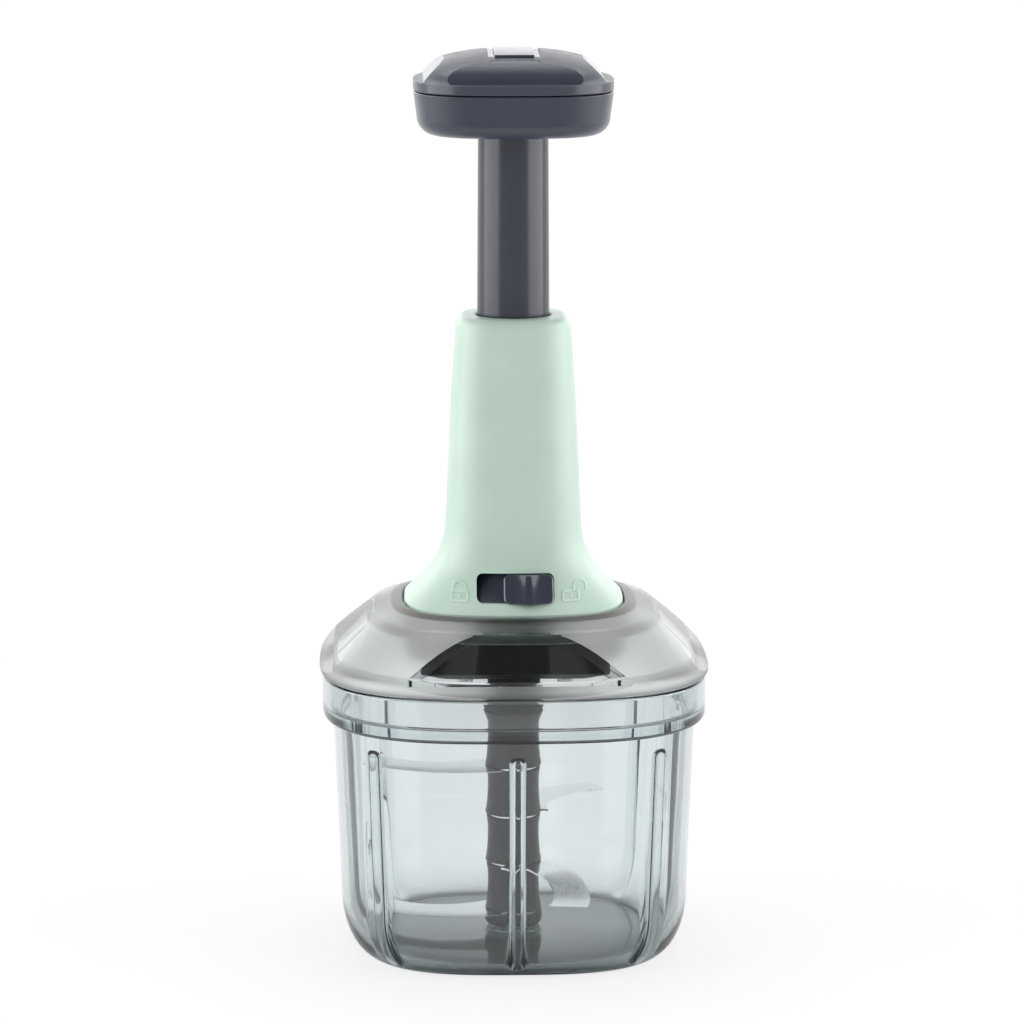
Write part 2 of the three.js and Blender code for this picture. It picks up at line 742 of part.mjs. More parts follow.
function flareProfile() {
  const start = new THREE.Vector2(tower.baseHalf, flareBottom);
  const end = new THREE.Vector2(flareTopHalf, flareTop);
  const [near, far] = flareShares.map(([inward, upward]) => new THREE.Vector2(
    THREE.MathUtils.lerp(start.x, end.x, inward), THREE.MathUtils.lerp(start.y, end.y, upward)));
  return new THREE.CubicBezierCurve(start, near, far, end).getPoints(tower.flareSteps);
}

// Half width of the tower, less an inset, from the foot of the flare to the shoulder.
function towerSides(inset) {
  return [
    ...flareProfile().map((point) => [point.x - inset, point.y]),
    [midHalf - inset, midHeight],
    [shoulderHalf - inset, shoulderHeight],
  ];
}

function towerInside(inset) {
  return roundedSquare([[tower.baseHalf - inset, towerBottom], ...towerSides(inset)], narrowSides);
}

function railSolids() {
  const near = plunger.keyHalf + fit.running;
  const far = near + rail.thickness;
  const inner = collarRadius + rail.collarGap;
  const zs = [plungerBottom - plunger.stroke, plungerCollarTop];
  const rails = [];
  for (const side of [-1, 1]) {
    for (const edge of [-1, 1]) {
      rails.push(block([side * inner, side * flareTopHalf], [edge * near, edge * far], zs));
    }
  }
  return rails;
}

function lockPocket() {
  const reach = lockSlot.halfWidth + lockSlide.travel + lockSlide.overlap + lockSlide.margin;
  const margin = lockSlide.margin + fit.running;
  const window = block([-reach, reach], [-tower.baseHalf, -towerBoss.y - towerBoss.radius - fit.running],
    [slotBottom - margin, slotTop + margin]);
  return towerInside(lockSlot.wall).intersect(window);
}

function towerSolid() {
  const outside = roundedSquare([
    [tower.baseHalf, towerBottom],
    ...towerSides(0),
    [shoulderHalf - tower.topRound * shoulderShares[0], shoulderHeight + tower.topRise * shoulderShares[1]],
    [towerTopHalf, towerTop],
  ], narrowSides);
  const inside = roundedSquare([
    [tower.baseHalf - tower.wall, towerBottom - fit.overrun],
    ...towerSides(tower.wall),
    [towerTopHalf - tower.wall, towerTop - tower.wall],
  ], narrowSides);
  const sleeve = cylinder(guideRadius + guide.wall, plungerCollarTop + fit.seat, towerTop - fit.bite,
    guide.sides);
  const bore = cylinder(guideRadius, plungerBottom, towerTop + fit.overrun, guide.sides);
  const pilotTop = deckBottom - fit.seat + towerScrewLength + towerBoss.pilotGap;
  const bosses = fourPlaces(towerBossX, towerBoss.y).map(([x, y]) => (
    cylinder(towerBoss.radius, towerBottom, pilotTop + tower.wall, smallSides, x, y)));
  const pilots = fourPlaces(towerBossX, towerBoss.y).map(([x, y]) => (
    cylinder(pilotRadius, towerBottom - fit.overrun, pilotTop, smallSides, x, y)));
  const inner = [...railSolids(), ...bosses].map((solid) => solid.intersect(towerInside(fit.bite)));
  const slot = toSolid(prismAlongY(
    roundedOutline(lockSlot.halfWidth, slotBottom, lockSlot.height, lockSlot.corner, lockSlot.cornerSteps),
    -tower.baseHalf - fit.overrun, -keyReach));
  const shell = addAll(outside.subtract(inside), [sleeve, ...inner]);
  return cutAll(shell, [bore, lockPocket(), slot, ...pilots]);
}

// Lock slider: what stays inside the wall at both ends of its travel, with a ribbed knob.
function lockPlate() {
  const gap = lockSlot.wall + fit.seat;
  const shifted = (inset, shift) => towerInside(inset).translate([shift, 0, 0]);
  const half = lockSlide.travel / 2;
  const front = shifted(gap, half).intersect(shifted(gap, -half));
  const back = shifted(gap + lockSlide.thickness, half).intersect(shifted(gap + lockSlide.thickness, -half));
  const reach = lockSlot.halfWidth + lockSlide.overlap + half;
  const window = block([-reach, reach], [-tower.baseHalf, -towerBoss.y - towerBoss.radius - fit.running * 2],
    [slotBottom - lockSlide.margin, slotTop + lockSlide.margin]);
  return front.subtract(back).intersect(window);
}

function flareHalfAt(z) {
  const points = flareProfile();
  const above = points.findIndex((point) => point.y >= z);
  const high = points[above];
  const low = points[above - 1];
  return low.x + ((high.x - low.x) * (z - low.y)) / (high.y - low.y);
}

function knobSolid() {
  const bottom = slotBottom + fit.running;
  const height = lockSlot.height - fit.running * 2;
  const rings = [];
  for (let level = 0; level <= lockKnob.heightSteps; level += 1) {
    const z = bottom + height * (level / lockKnob.heightSteps);
    const wall = flareHalfAt(z);
    const ring = [];
    for (let step = -lockKnob.flankSteps; step <= lockKnob.flankSteps; step += 1) {
      const share = step / lockKnob.flankSteps;
      const x = knobHalf * share;
      const bump = Math.exp(-((x / lockKnob.ribSpread) ** 2));
      ring.push([x, -wall - lockKnob.proud - (lockKnob.ribProud - lockKnob.proud) * bump, z]);
    }
    const backY = -wall + lockSlot.wall + fit.seat + lockSlide.thickness;
    ring.push([knobHalf, backY, z], [-knobHalf, backY, z]);
    rings.push(ring);
  }
  const footprint = toSolid(prismAlongY(
    roundedOutline(knobHalf, bottom, height, lockSlot.corner, lockSlot.cornerSteps),
    -tower.baseHalf - fit.overrun, 0));
  return toSolid(loft(rings)).intersect(footprint);
}

function lockSolid() {
  const tongueZ = [latchBottom, latchBottom + latch.thickness];
  const tongueX = lockSlide.travel / 2;
  const backY = -flareHalfAt(tongueZ[1]) + lockSlot.wall + fit.seat + lockSlide.thickness / 2;
  const tongue = block([tongueX - latch.halfWidth, tongueX + latch.halfWidth],
    [backY, -footRadius - latch.tubeGap], tongueZ);
  const slider = addAll(lockPlate(), [knobSolid(), tongue]);
  return slider.translate([lockSlide.travel / 2, 0, 0]);
}

// Plunger pieces

function plungerTubeSolid() {
  const body = turned([
    [0, plungerBottom],
    [collarRadius, plungerBottom],
    [collarRadius, plungerCollarTop],
    [footRadius, plungerCollarTop],
    [plunger.topRadius, flangeBottom],
    [flangeRadius, flangeBottom],
    [flangeRadius, plungerTop],
    [0, plungerTop],
  ], plunger.sides);
  const keyZ = [plungerBottom + fit.seat, plungerCollarTop - fit.seat];
  const keys = block([-keyReach, keyReach], [-plunger.keyHalf, plunger.keyHalf], keyZ);
  const lug = block([-plunger.lugHalf, plunger.lugHalf], [-keyReach, 0], keyZ);
  const bore = cylinder(tubeBore, plungerBottom - fit.overrun, flangeBottom, plunger.sides);
  const holes = [-1, 1].map((side) => cylinder(screw.shank + screw.clearance, flangeBottom - fit.overrun,
    plungerTop + fit.overrun, smallSides, side * handleScrewX, 0));
  return cutAll(addAll(body, [keys, lug]), [bore, ...holes]);
}

function twistedBar(bottom, top, halfWidth, halfThickness) {
  const stepHeight = (rod.lead * rod.stepAngle) / 360;
  const steps = Math.ceil((top - bottom) / stepHeight);
  const section = [
    [halfWidth, -halfThickness],
    [halfWidth, halfThickness],
    [0, halfThickness],
    [-halfWidth, halfThickness],
    [-halfWidth, -halfThickness],
    [0, -halfThickness],
  ];
  const rings = [];
  for (let step = 0; step <= steps; step += 1) {
    const z = bottom + (top - bottom) * (step / steps);
    const angle = (2 * Math.PI * z) / rod.lead;
    const cos = Math.cos(angle);
    const sin = Math.sin(angle);
    rings.push(section.map(([x, y]) => [x * cos - y * sin, x * sin + y * cos, z]));
  }
  return toSolid(loft(rings));
}

function nutSolid() {
  const nutFlangeTop = nutBottom + nut.flangeThickness;
  const body = turned([
    [0, nutBottom],
    [collarRadius - nut.flangeInset, nutBottom],
    [collarRadius - nut.flangeInset, nutFlangeTop],
    [tubeBore - nut.gap, nutFlangeTop],
    [tubeBore - nut.gap, nutTop],
    [0, nutTop],
  ], roundSides);
  return body.subtract(twistedBar(nutBottom - fit.overrun, nutTop + fit.overrun,
    rod.halfWidth + rod.slotGap, rod.halfThickness + rod.slotGap));
}

// Return spring as one unbroken wire, with the least gap between its turns printed.
function springGeometry() {
  const steps = springSize.turns * springSize.stepsPerTurn;
  const rise = springTop - springBottom;
  const rings = [];
  for (let step = 0; step <= steps; step += 1) {
    const angle = (2 * Math.PI * step) / springSize.stepsPerTurn;
    const z = springBottom + rise * (step / steps);
    const ring = [];
    for (let side = 0; side < springSize.wireSides; side += 1) {
      const around = (2 * Math.PI * side) / springSize.wireSides;
      const radius = springRadius + springSize.wire * Math.cos(around);
      ring.push([radius * Math.cos(angle), radius * Math.sin(angle), z - springSize.wire * Math.sin(around)]);
    }
    rings.push(ring);
  }
  const turnPoints = rings.map((ring) => ring[0]);
  let least = Infinity;
  for (let step = 0; step + springSize.stepsPerTurn < turnPoints.length; step += 1) {
    const near = turnPoints[step];
    const far = turnPoints[step + springSize.stepsPerTurn];
    least = Math.min(least, Math.hypot(near[0] - far[0], near[1] - far[1], near[2] - far[2]));
  }
  console.log(`return spring: least gap between turns ${(least - springSize.wire * 2).toFixed(2)} mm`);
  return wireMesh(rings);
}

// Handle pieces

function handleLowerSolid() {
  const outer = roundedSquare([
    ...heelArc(handleBottomHalf, handleBottom, handleRoundHalf, handleRoundTop, handle.roundSteps),
    [handleHalf, handleSeam],
  ], narrowSides);
  const floor = handleBottom + handle.floor;
  const inner = roundedSquare([
    [handleBottomHalf - handle.wall / 2, floor],
    [handleRoundHalf - handle.wall, handleRoundTop],
    [handleHalf - handle.wall, handleSeam + fit.overrun],
  ], narrowSides);
  const socket = cylinder(flangeRadius, floor - fit.bite, flangeBottom - fit.seat, roundSides);
  const bore = cylinder(plunger.topRadius + fit.seat, handleBottom - fit.overrun,
    handleSeam + fit.overrun, plunger.sides);
  const pilots = [-1, 1].map((side) => cylinder(pilotRadius,
    plungerTop - handleScrew.length - fit.seat, handleSeam, smallSides, side * handleScrewX, 0));
  return cutAll(outer.subtract(inner).add(socket), [bore, ...pilots]);
}

function crownProfile(lift) {
  return [
    [handleConeTopHalf, handleConeTop + lift],
    [crownHalf, crownTop + lift],
    [peakHalf, peakTop + lift],
  ];
}

function padStrip(halfWidth, halfLength) {
  return block([-halfWidth, halfWidth], [-halfLength, halfLength], [handleSeam, peakTop + fit.overrun]);
}

// All that lies under the crown, shifted up by lift.
function underCrown(lift) {
  return roundedSquare([[handleConeTopHalf, handleSeam - fit.overrun], ...crownProfile(lift)],
    narrowSides);
}

function handleCoverSolid() {
  const outer = roundedSquare([
    [handleHalf, handleCoverBottom],
    [handleHalf, handleCoverBottom + handle.bandRise],
    [handleConeFootHalf, handleCoverBottom + handle.coneFootRise],
    ...crownProfile(0),
  ], narrowSides);
  const inner = roundedSquare([
    [handleHalf - handle.wall, handleCoverBottom - fit.overrun],
    [handleHalf - handle.wall, handleCoverBottom + handle.bandRise - handle.wall],
    [handleConeTopHalf, handleConeTop - handle.underCone],
    [crownHalf, crownTop - handle.wall - pad.depth],
  ], narrowSides);
  const cuts = facetCuts(handleFacet, handleConeFootHalf, handleCoverBottom + handle.coneFootRise,
    handleConeTopHalf - handleFacet.topInset, handleConeTop, handleHalf);
  const recess = padStrip(pad.halfWidth + pad.groove, padHalfLength + fit.seat)
    .subtract(underCrown(-pad.depth));
  return cutAll(outer.subtract(inner), [...cuts, recess]);
}

function padSolid() {
  return padStrip(pad.halfWidth, padHalfLength)
    .intersect(underCrown(pad.proud))
    .subtract(underCrown(fit.seat - pad.depth));
}

// Drive pieces

// Saw teeth round a ring: each rises at an upright face and runs down over its pitch.
// Those of the driver point down and stand in the gaps of those on the hub.
function sawTeeth(rootZ, direction) {
  const teeth = [];
  const pitch = (2 * Math.PI) / clutch.teeth;
  const buried = rootZ - direction * fit.bite;
  const innerRadius = driver.neck + clutch.innerGap;
  const outerRadius = hub.flangeRadius - clutch.outerInset;
  for (let tooth = 0; tooth < clutch.teeth; tooth += 1) {
    const rings = [];
    for (let step = 0; step <= clutch.steps; step += 1) {
      const share = (step / clutch.steps) * (1 - clutchFreeShare * 2);
      const along = direction > 0 ? share : 1 - clutchFreeShare - share;
      const angle = (tooth + along) * pitch;
      const tip = rootZ + direction * clutch.height * (1 - clutchFreeShare - share);
      const low = Math.min(tip, buried);
      const high = Math.max(tip, buried);
      const inner = [innerRadius * Math.cos(angle), innerRadius * Math.sin(angle)];
      const outer = [outerRadius * Math.cos(angle), outerRadius * Math.sin(angle)];
      rings.push([[...inner, low], [...inner, high], [...outer, high], [...outer, low]]);
    }
    teeth.push(toSolid(wireMesh(direction > 0 ? rings : rings.reverse())));
  }
  return teeth;
}

function driverSolid() {
  const body = turned([
    [0, driverDiscBottom],
    [hub.flangeRadius, driverDiscBottom],
    [hub.flangeRadius, driverDiscTop],
    [driver.neck, driverDiscTop],
    [driver.neck, neckTop],
    [0, neckTop],
  ], roundSides);
  const socket = twistedBar(rodBottom - fit.seat, neckTop + fit.overrun,
    rod.halfWidth + fit.seat, rod.halfThickness + fit.seat);
  return addAll(body, sawTeeth(driverDiscBottom, -1)).subtract(socket);
}

function rodSolid() {
  return twistedBar(rodBottom, rodTop, rod.halfWidth, rod.halfThickness);
}

function springCapSolid() {
  const bottom = rodTop + fit.seat;
  const discTop = bottom + springCap.thickness;
  const radius = tubeBore - springCap.gap;
  const spigotRadius = springRadius - springSize.wire - springCap.spigotGap;
  return turned([
    [0, bottom],
    [radius, bottom],
    [radius, discTop],
    [spigotRadius, discTop],
    [spigotRadius, discTop + springCap.spigotHeight],
    [0, discTop + springCap.spigotHeight],
  ], roundSides);
}

function hubSolid() {
  const lipRadius = cupRadius + hub.lipProud;
  const body = turned([
    [0, hubBottom],
    [lipRadius - hub.lipRound, hubBottom],
    [lipRadius, hubBottom + hub.lipRound],
    [lipRadius, hubBottom + hub.lipHeight - hub.lipRound],
    [cupRadius, hubBottom + hub.lipHeight],
    [cupRadius, cupTop],
    [hub.journal, cupTop],
    [hub.journal, hubFlangeBottom],
    [hub.flangeRadius, hubFlangeBottom],
    [hub.flangeRadius, hubFlangeTop],
    [0, hubFlangeTop],
  ], roundSides);
  const socket = cylinder(spigot.radius + fit.running, hubBottom - fit.overrun, hubSocketTop, 6);
  return addAll(body, sawTeeth(hubFlangeTop, 1)).subtract(socket);
}

function thrustWasherSolid() {
  const top = washerBottom + washer.thickness;
  const disc = cylinder(hub.flangeRadius - washer.inset, washerBottom, top, roundSides);
  return disc.subtract(cylinder(hub.journal + fit.running, washerBottom - fit.overrun,
    top + fit.overrun, roundSides));
}

// Bush between the lid's bearing housing and the driver's neck, with a flange on the deck.
function bushSolid() {
  const body = turned([
    [0, bearingBottom],
    [bearingBore - fit.seat, bearingBottom],
    [bearingBore - fit.seat, towerBottom],
    [bearingBore + bush.flangeRise, towerBottom],
    [bearingBore + bush.flangeRise, neckTop],
    [0, neckTop],
  ], roundSides);
  return body.subtract(cylinder(driver.neck + fit.running, bearingBottom - fit.overrun,
    neckTop + fit.overrun, roundSides));
}

// Screws

function screwSolid(headBottom, direction, length, x, y) {
  const headTop = headBottom + direction * screw.headHeight;
  const shankEnd = headTop + direction * length;
  const profile = [
    [0, headBottom],
    [screw.headRadius, headBottom + (direction * screw.headHeight) / 3],
    [screw.headRadius, headTop],
    [screw.shank, headTop],
    [screw.shank, shankEnd - direction * screw.shank],
    [0, shankEnd],
  ];
  const geometry = new THREE.LatheGeometry(
    (direction > 0 ? profile : profile.reverse()).map(([r, z]) => new THREE.Vector2(r, z)), smallSides);
  return toSolid(geometry.rotateX(Math.PI / 2).translate(x, y, 0));
}

// Materials, one per finish

const finishes = {
  clearTint: { color: 0xc5d6d8, roughness: 0.08, metalness: 0, transparent: true, opacity: 0.4 },
  frosted: { color: 0x9fa5a6, roughness: 0.35, metalness: 0, transparent: true, opacity: 0.6 },
  mint: { color: 0xb5cfc0, roughness: 0.45, metalness: 0 },
  navy: { color: 0x3f4654, roughness: 0.45, metalness: 0 },
  navyPolished: { color: 0x454b5a, roughness: 0.3, metalness: 0 },
  knob: { color: 0x22283a, roughness: 0.2, metalness: 0 },
  blackPlastic: { color: 0x232426, roughness: 0.4, metalness: 0 },
  shaftGrey: { color: 0x5b5d60, roughness: 0.5, metalness: 0 },
  nylon: { color: 0xe6e4dc, roughness: 0.5, metalness: 0 },
  steel: { color: 0xc6c8ca, roughness: 0.25, metalness: 1 },
};

function piece(name, solid, finish) {
  const geometry = solid instanceof THREE.BufferGeometry ? solid : toGeometry(solid);
  const mesh = new THREE.Mesh(geometry, new THREE.MeshStandardMaterial(finishes[finish]));
  mesh.name = name;
  return mesh;
}

// Assembly

const group = new THREE.Group();

const base = new THREE.Group();
base.add(piece('bowl', bowlSolid(), 'clearTint'));
base.add(piece('bowl_pivot_pin', pivotPinSolid(), 'steel'));

const bladeUnit = new THREE.Group();
bladeUnit.add(piece('pivot_bush', pivotBushSolid(), 'nylon'));
bladeUnit.add(piece('blade_core_rod', hexRodSolid(), 'steel'));
bladeUnit.add(piece('shaft_foot', footSolid(), 'shaftGrey'));
for (let place = 0; place < stack.bladeCount; place += 1) {
  bladeUnit.add(piece(`blade_${place + 1}`, bladeSolid(place), 'steel'));
  if (place + 1 < stack.bladeCount) {
    bladeUnit.add(piece(`shaft_segment_${place + 1}`, segmentSolid(place), 'shaftGrey'));
  }
}
bladeUnit.add(piece('shaft_top', topSegmentSolid(), 'shaftGrey'));

const lidUnit = new THREE.Group();
lidUnit.add(piece('lid', lidSolid(), 'frosted'));
lidUnit.add(piece('gear_cover', coverSolid(), 'blackPlastic'));
lidUnit.add(piece('thrust_washer', thrustWasherSolid(), 'nylon'));
lidUnit.add(piece('upper_bush', bushSolid(), 'nylon'));
lidUnit.add(piece('tower_housing', towerSolid(), 'mint'));
fourPlaces(lidPost.offset, lidPost.offset).forEach(([x, y], place) => {
  const head = coverBottom - fit.seat - screw.headHeight;
  lidUnit.add(piece(`cover_screw_${place + 1}`, screwSolid(head, 1, coverScrewLength, x, y), 'steel'));
});
fourPlaces(towerBossX, towerBoss.y).forEach(([x, y], place) => {
  const head = deckBottom - fit.seat - screw.headHeight;
  lidUnit.add(piece(`tower_screw_${place + 1}`, screwSolid(head, 1, towerScrewLength, x, y), 'steel'));
});

const driveUnit = new THREE.Group();
driveUnit.add(piece('helix_rod', rodSolid(), 'steel'));
driveUnit.add(piece('clutch_driver', driverSolid(), 'nylon'));
driveUnit.add(piece('spring_cap', springCapSolid(), 'nylon'));
driveUnit.add(piece('output_hub', hubSolid(), 'shaftGrey'));

const plungerUnit = new THREE.Group();
plungerUnit.add(piece('plunger_tube', plungerTubeSolid(), 'navyPolished'));
plungerUnit.add(piece('drive_nut', nutSolid(), 'nylon'));
plungerUnit.add(piece('return_spring', springGeometry(), 'steel'));
plungerUnit.add(piece('handle_lower_shell', handleLowerSolid(), 'navy'));
plungerUnit.add(piece('handle_top_cover', handleCoverSolid(), 'navy'));
plungerUnit.add(piece('handle_top_pad', padSolid(), 'navy'));
[-1, 1].forEach((side, place) => {
  const head = plungerTop + fit.seat + screw.headHeight;
  const solid = screwSolid(head, -1, handleScrew.length, side * handleScrewX, 0);
  plungerUnit.add(piece(`handle_screw_${place + 1}`, solid, 'steel'));
});

const lockUnit = new THREE.Group();
lockUnit.add(piece('lock_slider', lockSolid(), 'knob'));

group.add(base, bladeUnit, lidUnit, driveUnit, plungerUnit, lockUnit);

export default group;
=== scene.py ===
import math
from types import SimpleNamespace as Sizes

import bmesh
import bpy
from mathutils import Matrix, Vector


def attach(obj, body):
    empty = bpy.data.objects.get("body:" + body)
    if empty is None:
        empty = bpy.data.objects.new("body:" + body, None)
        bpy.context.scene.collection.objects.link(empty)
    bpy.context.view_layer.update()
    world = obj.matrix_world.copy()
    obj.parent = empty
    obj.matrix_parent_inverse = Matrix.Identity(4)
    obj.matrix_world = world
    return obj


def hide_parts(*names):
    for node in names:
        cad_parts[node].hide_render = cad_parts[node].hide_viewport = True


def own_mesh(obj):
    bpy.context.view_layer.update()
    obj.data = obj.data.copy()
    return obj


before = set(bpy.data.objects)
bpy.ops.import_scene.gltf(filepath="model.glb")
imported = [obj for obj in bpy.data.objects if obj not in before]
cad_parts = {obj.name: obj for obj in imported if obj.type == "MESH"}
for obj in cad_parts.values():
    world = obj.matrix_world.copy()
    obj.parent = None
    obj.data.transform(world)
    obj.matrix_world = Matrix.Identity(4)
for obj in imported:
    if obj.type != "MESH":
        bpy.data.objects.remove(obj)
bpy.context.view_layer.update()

# Sizes in metres, with +Z up and the origin in the middle of the underside

SQUARENESS = 3.0          # exponent of the rounded-square plans, 2 being a circle
ROUND = 2.0
PLAN_STEPS = 192
TURN_STEPS = 96
HEX_STEPS = 6
FILLET_STEP = math.radians(18)
SHARP = math.radians(32)
SEAT = 0.0003
AXIS = 0.0002             # smallest ring round an axis, which its cap closes
OVERRUN = 0.004
JOINED = 0.000001         # points closer than this become one
TOUCH = SEAT / 3          # a point this near a surface lies on it
FACING = 0.1              # how far a face's normal points up, or down, where it counts as turned that way
FROSTED = "frosted"
# faces marked with this name take a painted shade
PAINTED_SHADE = "painted_shade_mark"

bowl = Sizes(
    base_half=0.047, heel_half=0.0582, heel_height=0.020, neck_half=0.0606, neck_height=0.0817,
    collar_half=0.0641, collar_top=0.096, collar_wall=0.0027, ledge_top=0.0857, wall=0.0024, floor=0.0026,
    boss_radius=0.0094, boss_top_radius=0.0086, boss_top=0.0052, pin_hole=0.0023, pin_floor=0.0013,
    edge=0.0008, rim_edge=0.0009, lip_edge=0.0004, collar_edge=0.0013, heel_steps=16, wall_steps=5,
)
rib = Sizes(count=8, half_width=0.0028, depth=0.0021, top=0.0762, fade=0.003, cap_steps=9)
rib_shares = (-1.02, -0.99, -0.95, -0.86, -0.7, -0.48, -0.25, 0, 0.25, 0.48, 0.7, 0.86, 0.95, 0.99, 1.02)

pin = Sizes(radius=0.002, bottom=0.0016, top=0.016, tip=0.0008)
stack = Sizes(
    ring=0.0096, waist=0.00865, top_ring=0.0103, foot=0.0099, foot_round=0.0018, bore=0.0034, edge=0.0003,
    bush_bore=0.0043, first=0.0104, pitch=0.0166, half_gap=0.00045, bottom=0.0055, top=0.0796,
    spigot=0.0066, spigot_top=0.090, bush_top=0.0149, core_top=0.0883,
)
segment_shares = ((0.1, 0.55), (0.3, 0.2), (0.55, 0.0), (0.8, 0.05))
blade = Sizes(reach=0.05107, thickness=0.0006, edge=0.00015, bevel=0.0032, dip=0.004, steps=48)
sickle_shares = Sizes(
    back_radius=0.961, back_centre=(0.333, -0.745), root=0.078,
    belly_radius=0.482, belly_centre=(0.476, -0.545), belly_root=0.161, belly_tip=0.855,
    dip_start=0.39, dip_end=0.9, widest_bevel=0.45,
)
blade_degrees = (180, -60, 60, 180)
blade_dip_shares = (0, 1, 0, 0)

lid = Sizes(
    half=0.065, bottom=0.0966, cone_foot_height=0.1003,
    cone_top_half=0.047, cone_top=0.1153, lip_half=0.0382, lip_top=0.1184, lip_inner=0.0371,
    recess=0.1162, skirt_outer=0.0609, skirt_inner=0.0587, skirt_bottom=0.086,
    deck=0.1139, deck_half=0.0365, under_foot=0.1007, under_top=0.1107,
    bearing=0.0114, bore=0.0088, bearing_bottom=0.1085,
    rim_edge=0.0005, soft_edge=0.0036, shoulder=0.006, lip_edge=0.0005, inner_edge=0.0012,
)
facet = Sizes(foot=0.1006, top=0.1153, top_half=0.0469, low_half=0.0600, ledge_drop=0.0004, bulge=0.0,
              ledge_slope=0.62)
# heights over which the frost takes a painted shade, by the seam and by the lip, and spans of the product of
# x and y over which it scatters more towards the corners
lid_shade = Sizes(seam=(0.0966, 0.0992), lip=(0.1172, 0.1176), corner=(0.0002, 0.0011))
lid_post = Sizes(radius=0.0035, offset=0.018, bottom=0.1004, sunk=0.0006)
pilot = 0.00155
cover = Sizes(
    bottom=0.0988, floor=0.1001, rim=0.1010, top=0.1128, power=4.4, bottom_half=0.029, rim_half=0.0372,
    top_half=0.0368, wall=0.002, sleeve=0.00945, bore=0.0068, sleeve_bottom=0.093, edge=0.0010,
    screw_hole=0.00165,
)
tower = Sizes(
    base_half=0.0365, bottom=0.1165, flare_bottom=0.1188, flare_top_half=0.0226, flare_top=0.144,
    mid_half=0.0207, mid=0.187, shoulder_half=0.0191, shoulder=0.2098, top_half=0.0166, top=0.2137,
    wall=0.0022, bore=0.0125, sleeve=0.0144, sleeve_bottom=0.1839, edge=0.0004, base_edge=0.0007,
    top_round=0.0026, flare_steps=18,
)
flare_shares = ((0.396, 0.23), (0.928, 0.397))
top_round_share = 0.45
slot = Sizes(half_width=0.0128, bottom=0.1219, top=0.1308, corner=0.002, edge=0.0004)
tower_boss = Sizes(radius=0.0034, x=0.020, y=0.0075, top=0.1288, pilot_top=0.1266)
knob = Sizes(
    half_width=0.0082, bottom=0.1221, top=0.1305, corner=0.0016, proud=0.0007, fin=0.0031, fin_half=0.0006,
    flank=0.0026, flank_power=1.35, edge=0.0005, steps=40, rows=14,
)
plate = Sizes(
    travel=0.0087, reach=0.01805, bottom=0.1195, top=0.132, gap=0.0016, thickness=0.0016, back=-0.0117,
    edge=0.0003, steps=36, rows=5,
)
mark = Sizes(width=0.0008, proud=0.0004, sunk=0.0005)
mark_shares = Sizes(crown=0.6, shoulder=0.4)
padlock = Sizes(
    left=-0.0184, right=0.0182, half_width=0.0026, bottom=0.1226, top=0.1253, shackle=0.0021, rise=0.0008,
    hook=0.0012, edge=0.0005, open_shift=0.0031, corner_steps=3,
)

tube = Sizes(
    bottom=0.180, collar=0.0144, collar_top=0.1836, foot=0.0122, top_radius=0.0116, flange_bottom=0.2817,
    flange=0.018, top=0.2841, bore=0.0095, key_half=0.0025, key_reach=0.0176, lug_half=0.004, edge=0.0004,
)
spring = Sizes(radius=0.007, wire=0.0007, bottom=0.1993, top=0.2807, turns=10, steps=32, sides=10)

handle = Sizes(
    bottom=0.2742, bottom_half=0.0265, round_half=0.0319, round_top=0.2799, half=0.033, seam=0.2883,
    cover_bottom=0.2886, dome_foot=0.2917, dome_inner=0.0278, peak=0.3016, wall=0.0023, bore=0.0119,
    socket=0.018, socket_top=0.2814, floor=0.2768, seam_edge=0.0004, edge=0.0003, round_steps=10,
    dome_steps=22,
)
handle_facet = Sizes(foot=0.2923, top=0.2991, top_half=0.0225, low_half=0.0296, ledge_drop=0.0003,
                     bulge=0.0006, ledge_slope=0.08)
pad = Sizes(half_width=0.0065, half_length=0.018, floor=0.3001, groove=0.0021, edge=0.0004, steps=36)
pad_crown_share = 0.55
handle_screw = Sizes(places=((-0.0152, 0), (0.0152, 0)), depth=0.0068)

hub = Sizes(
    bottom=0.0802, lip=0.0104, lip_top=0.0856, cup=0.00945, cup_top=0.0925, journal=0.0064,
    flange_bottom=0.1015, flange=0.0115, flange_top=0.1039, socket=0.007, socket_top=0.0907, edge=0.0012,
)
screw = Sizes(head=0.0029, head_height=0.0027, shank=0.00125, length=0.011, tip=0.0006, slot=0.00045,
              slot_reach=0.0017, slot_depth=0.0009, head_bottom=0.0961)

camera_at = Vector((-0.0385, -1.4695, 0.413))
camera_aim = Vector((-0.0004, 0.0, 0.1467))
camera_lens = 156.9       # millimetres, as is the sensor
camera_sensor = 36.0


# Light, as strengths that reach 1 for white, and lamps in watts. The room fades by how far a direction
# points up or back, and the floor's own glow by distance from the part or from front to back.
room = Sizes(soft=0.33, dim=0.12, front=0.10, back=1.7, overhead=0.5,
             low_fade=(0.30, 0.75), back_fade=(-0.35, 0.55), overhead_fade=(0.25, 0.55))
stage = Sizes(floor_reach=7.0, floor_drop=0.00005, seen_fade=(0.08, 0.5), through_fade=(0.06, 0.22),
              front_fade=(-0.62, -0.36), far_fade=(0.6, 1.4), noise=3, shades=(0.90, 0.93))
seen_glow_shares = (0.8, 1.0)
through_glow_shares = (0.0, 1.0)
gloss_shares = (0.4, 1.0)
lamp_aim = Vector((0, 0, 0.15))
lamps = {
    "left": ((-1.0, -0.2, 0.45), (1.3, 0.9), 10),
    "right": ((1.0, -0.2, 0.45), (1.3, 0.9), 10),
    "top": ((0.0, 0.45, 1.45), (1.1, 0.8), 11),
}


# Outlines

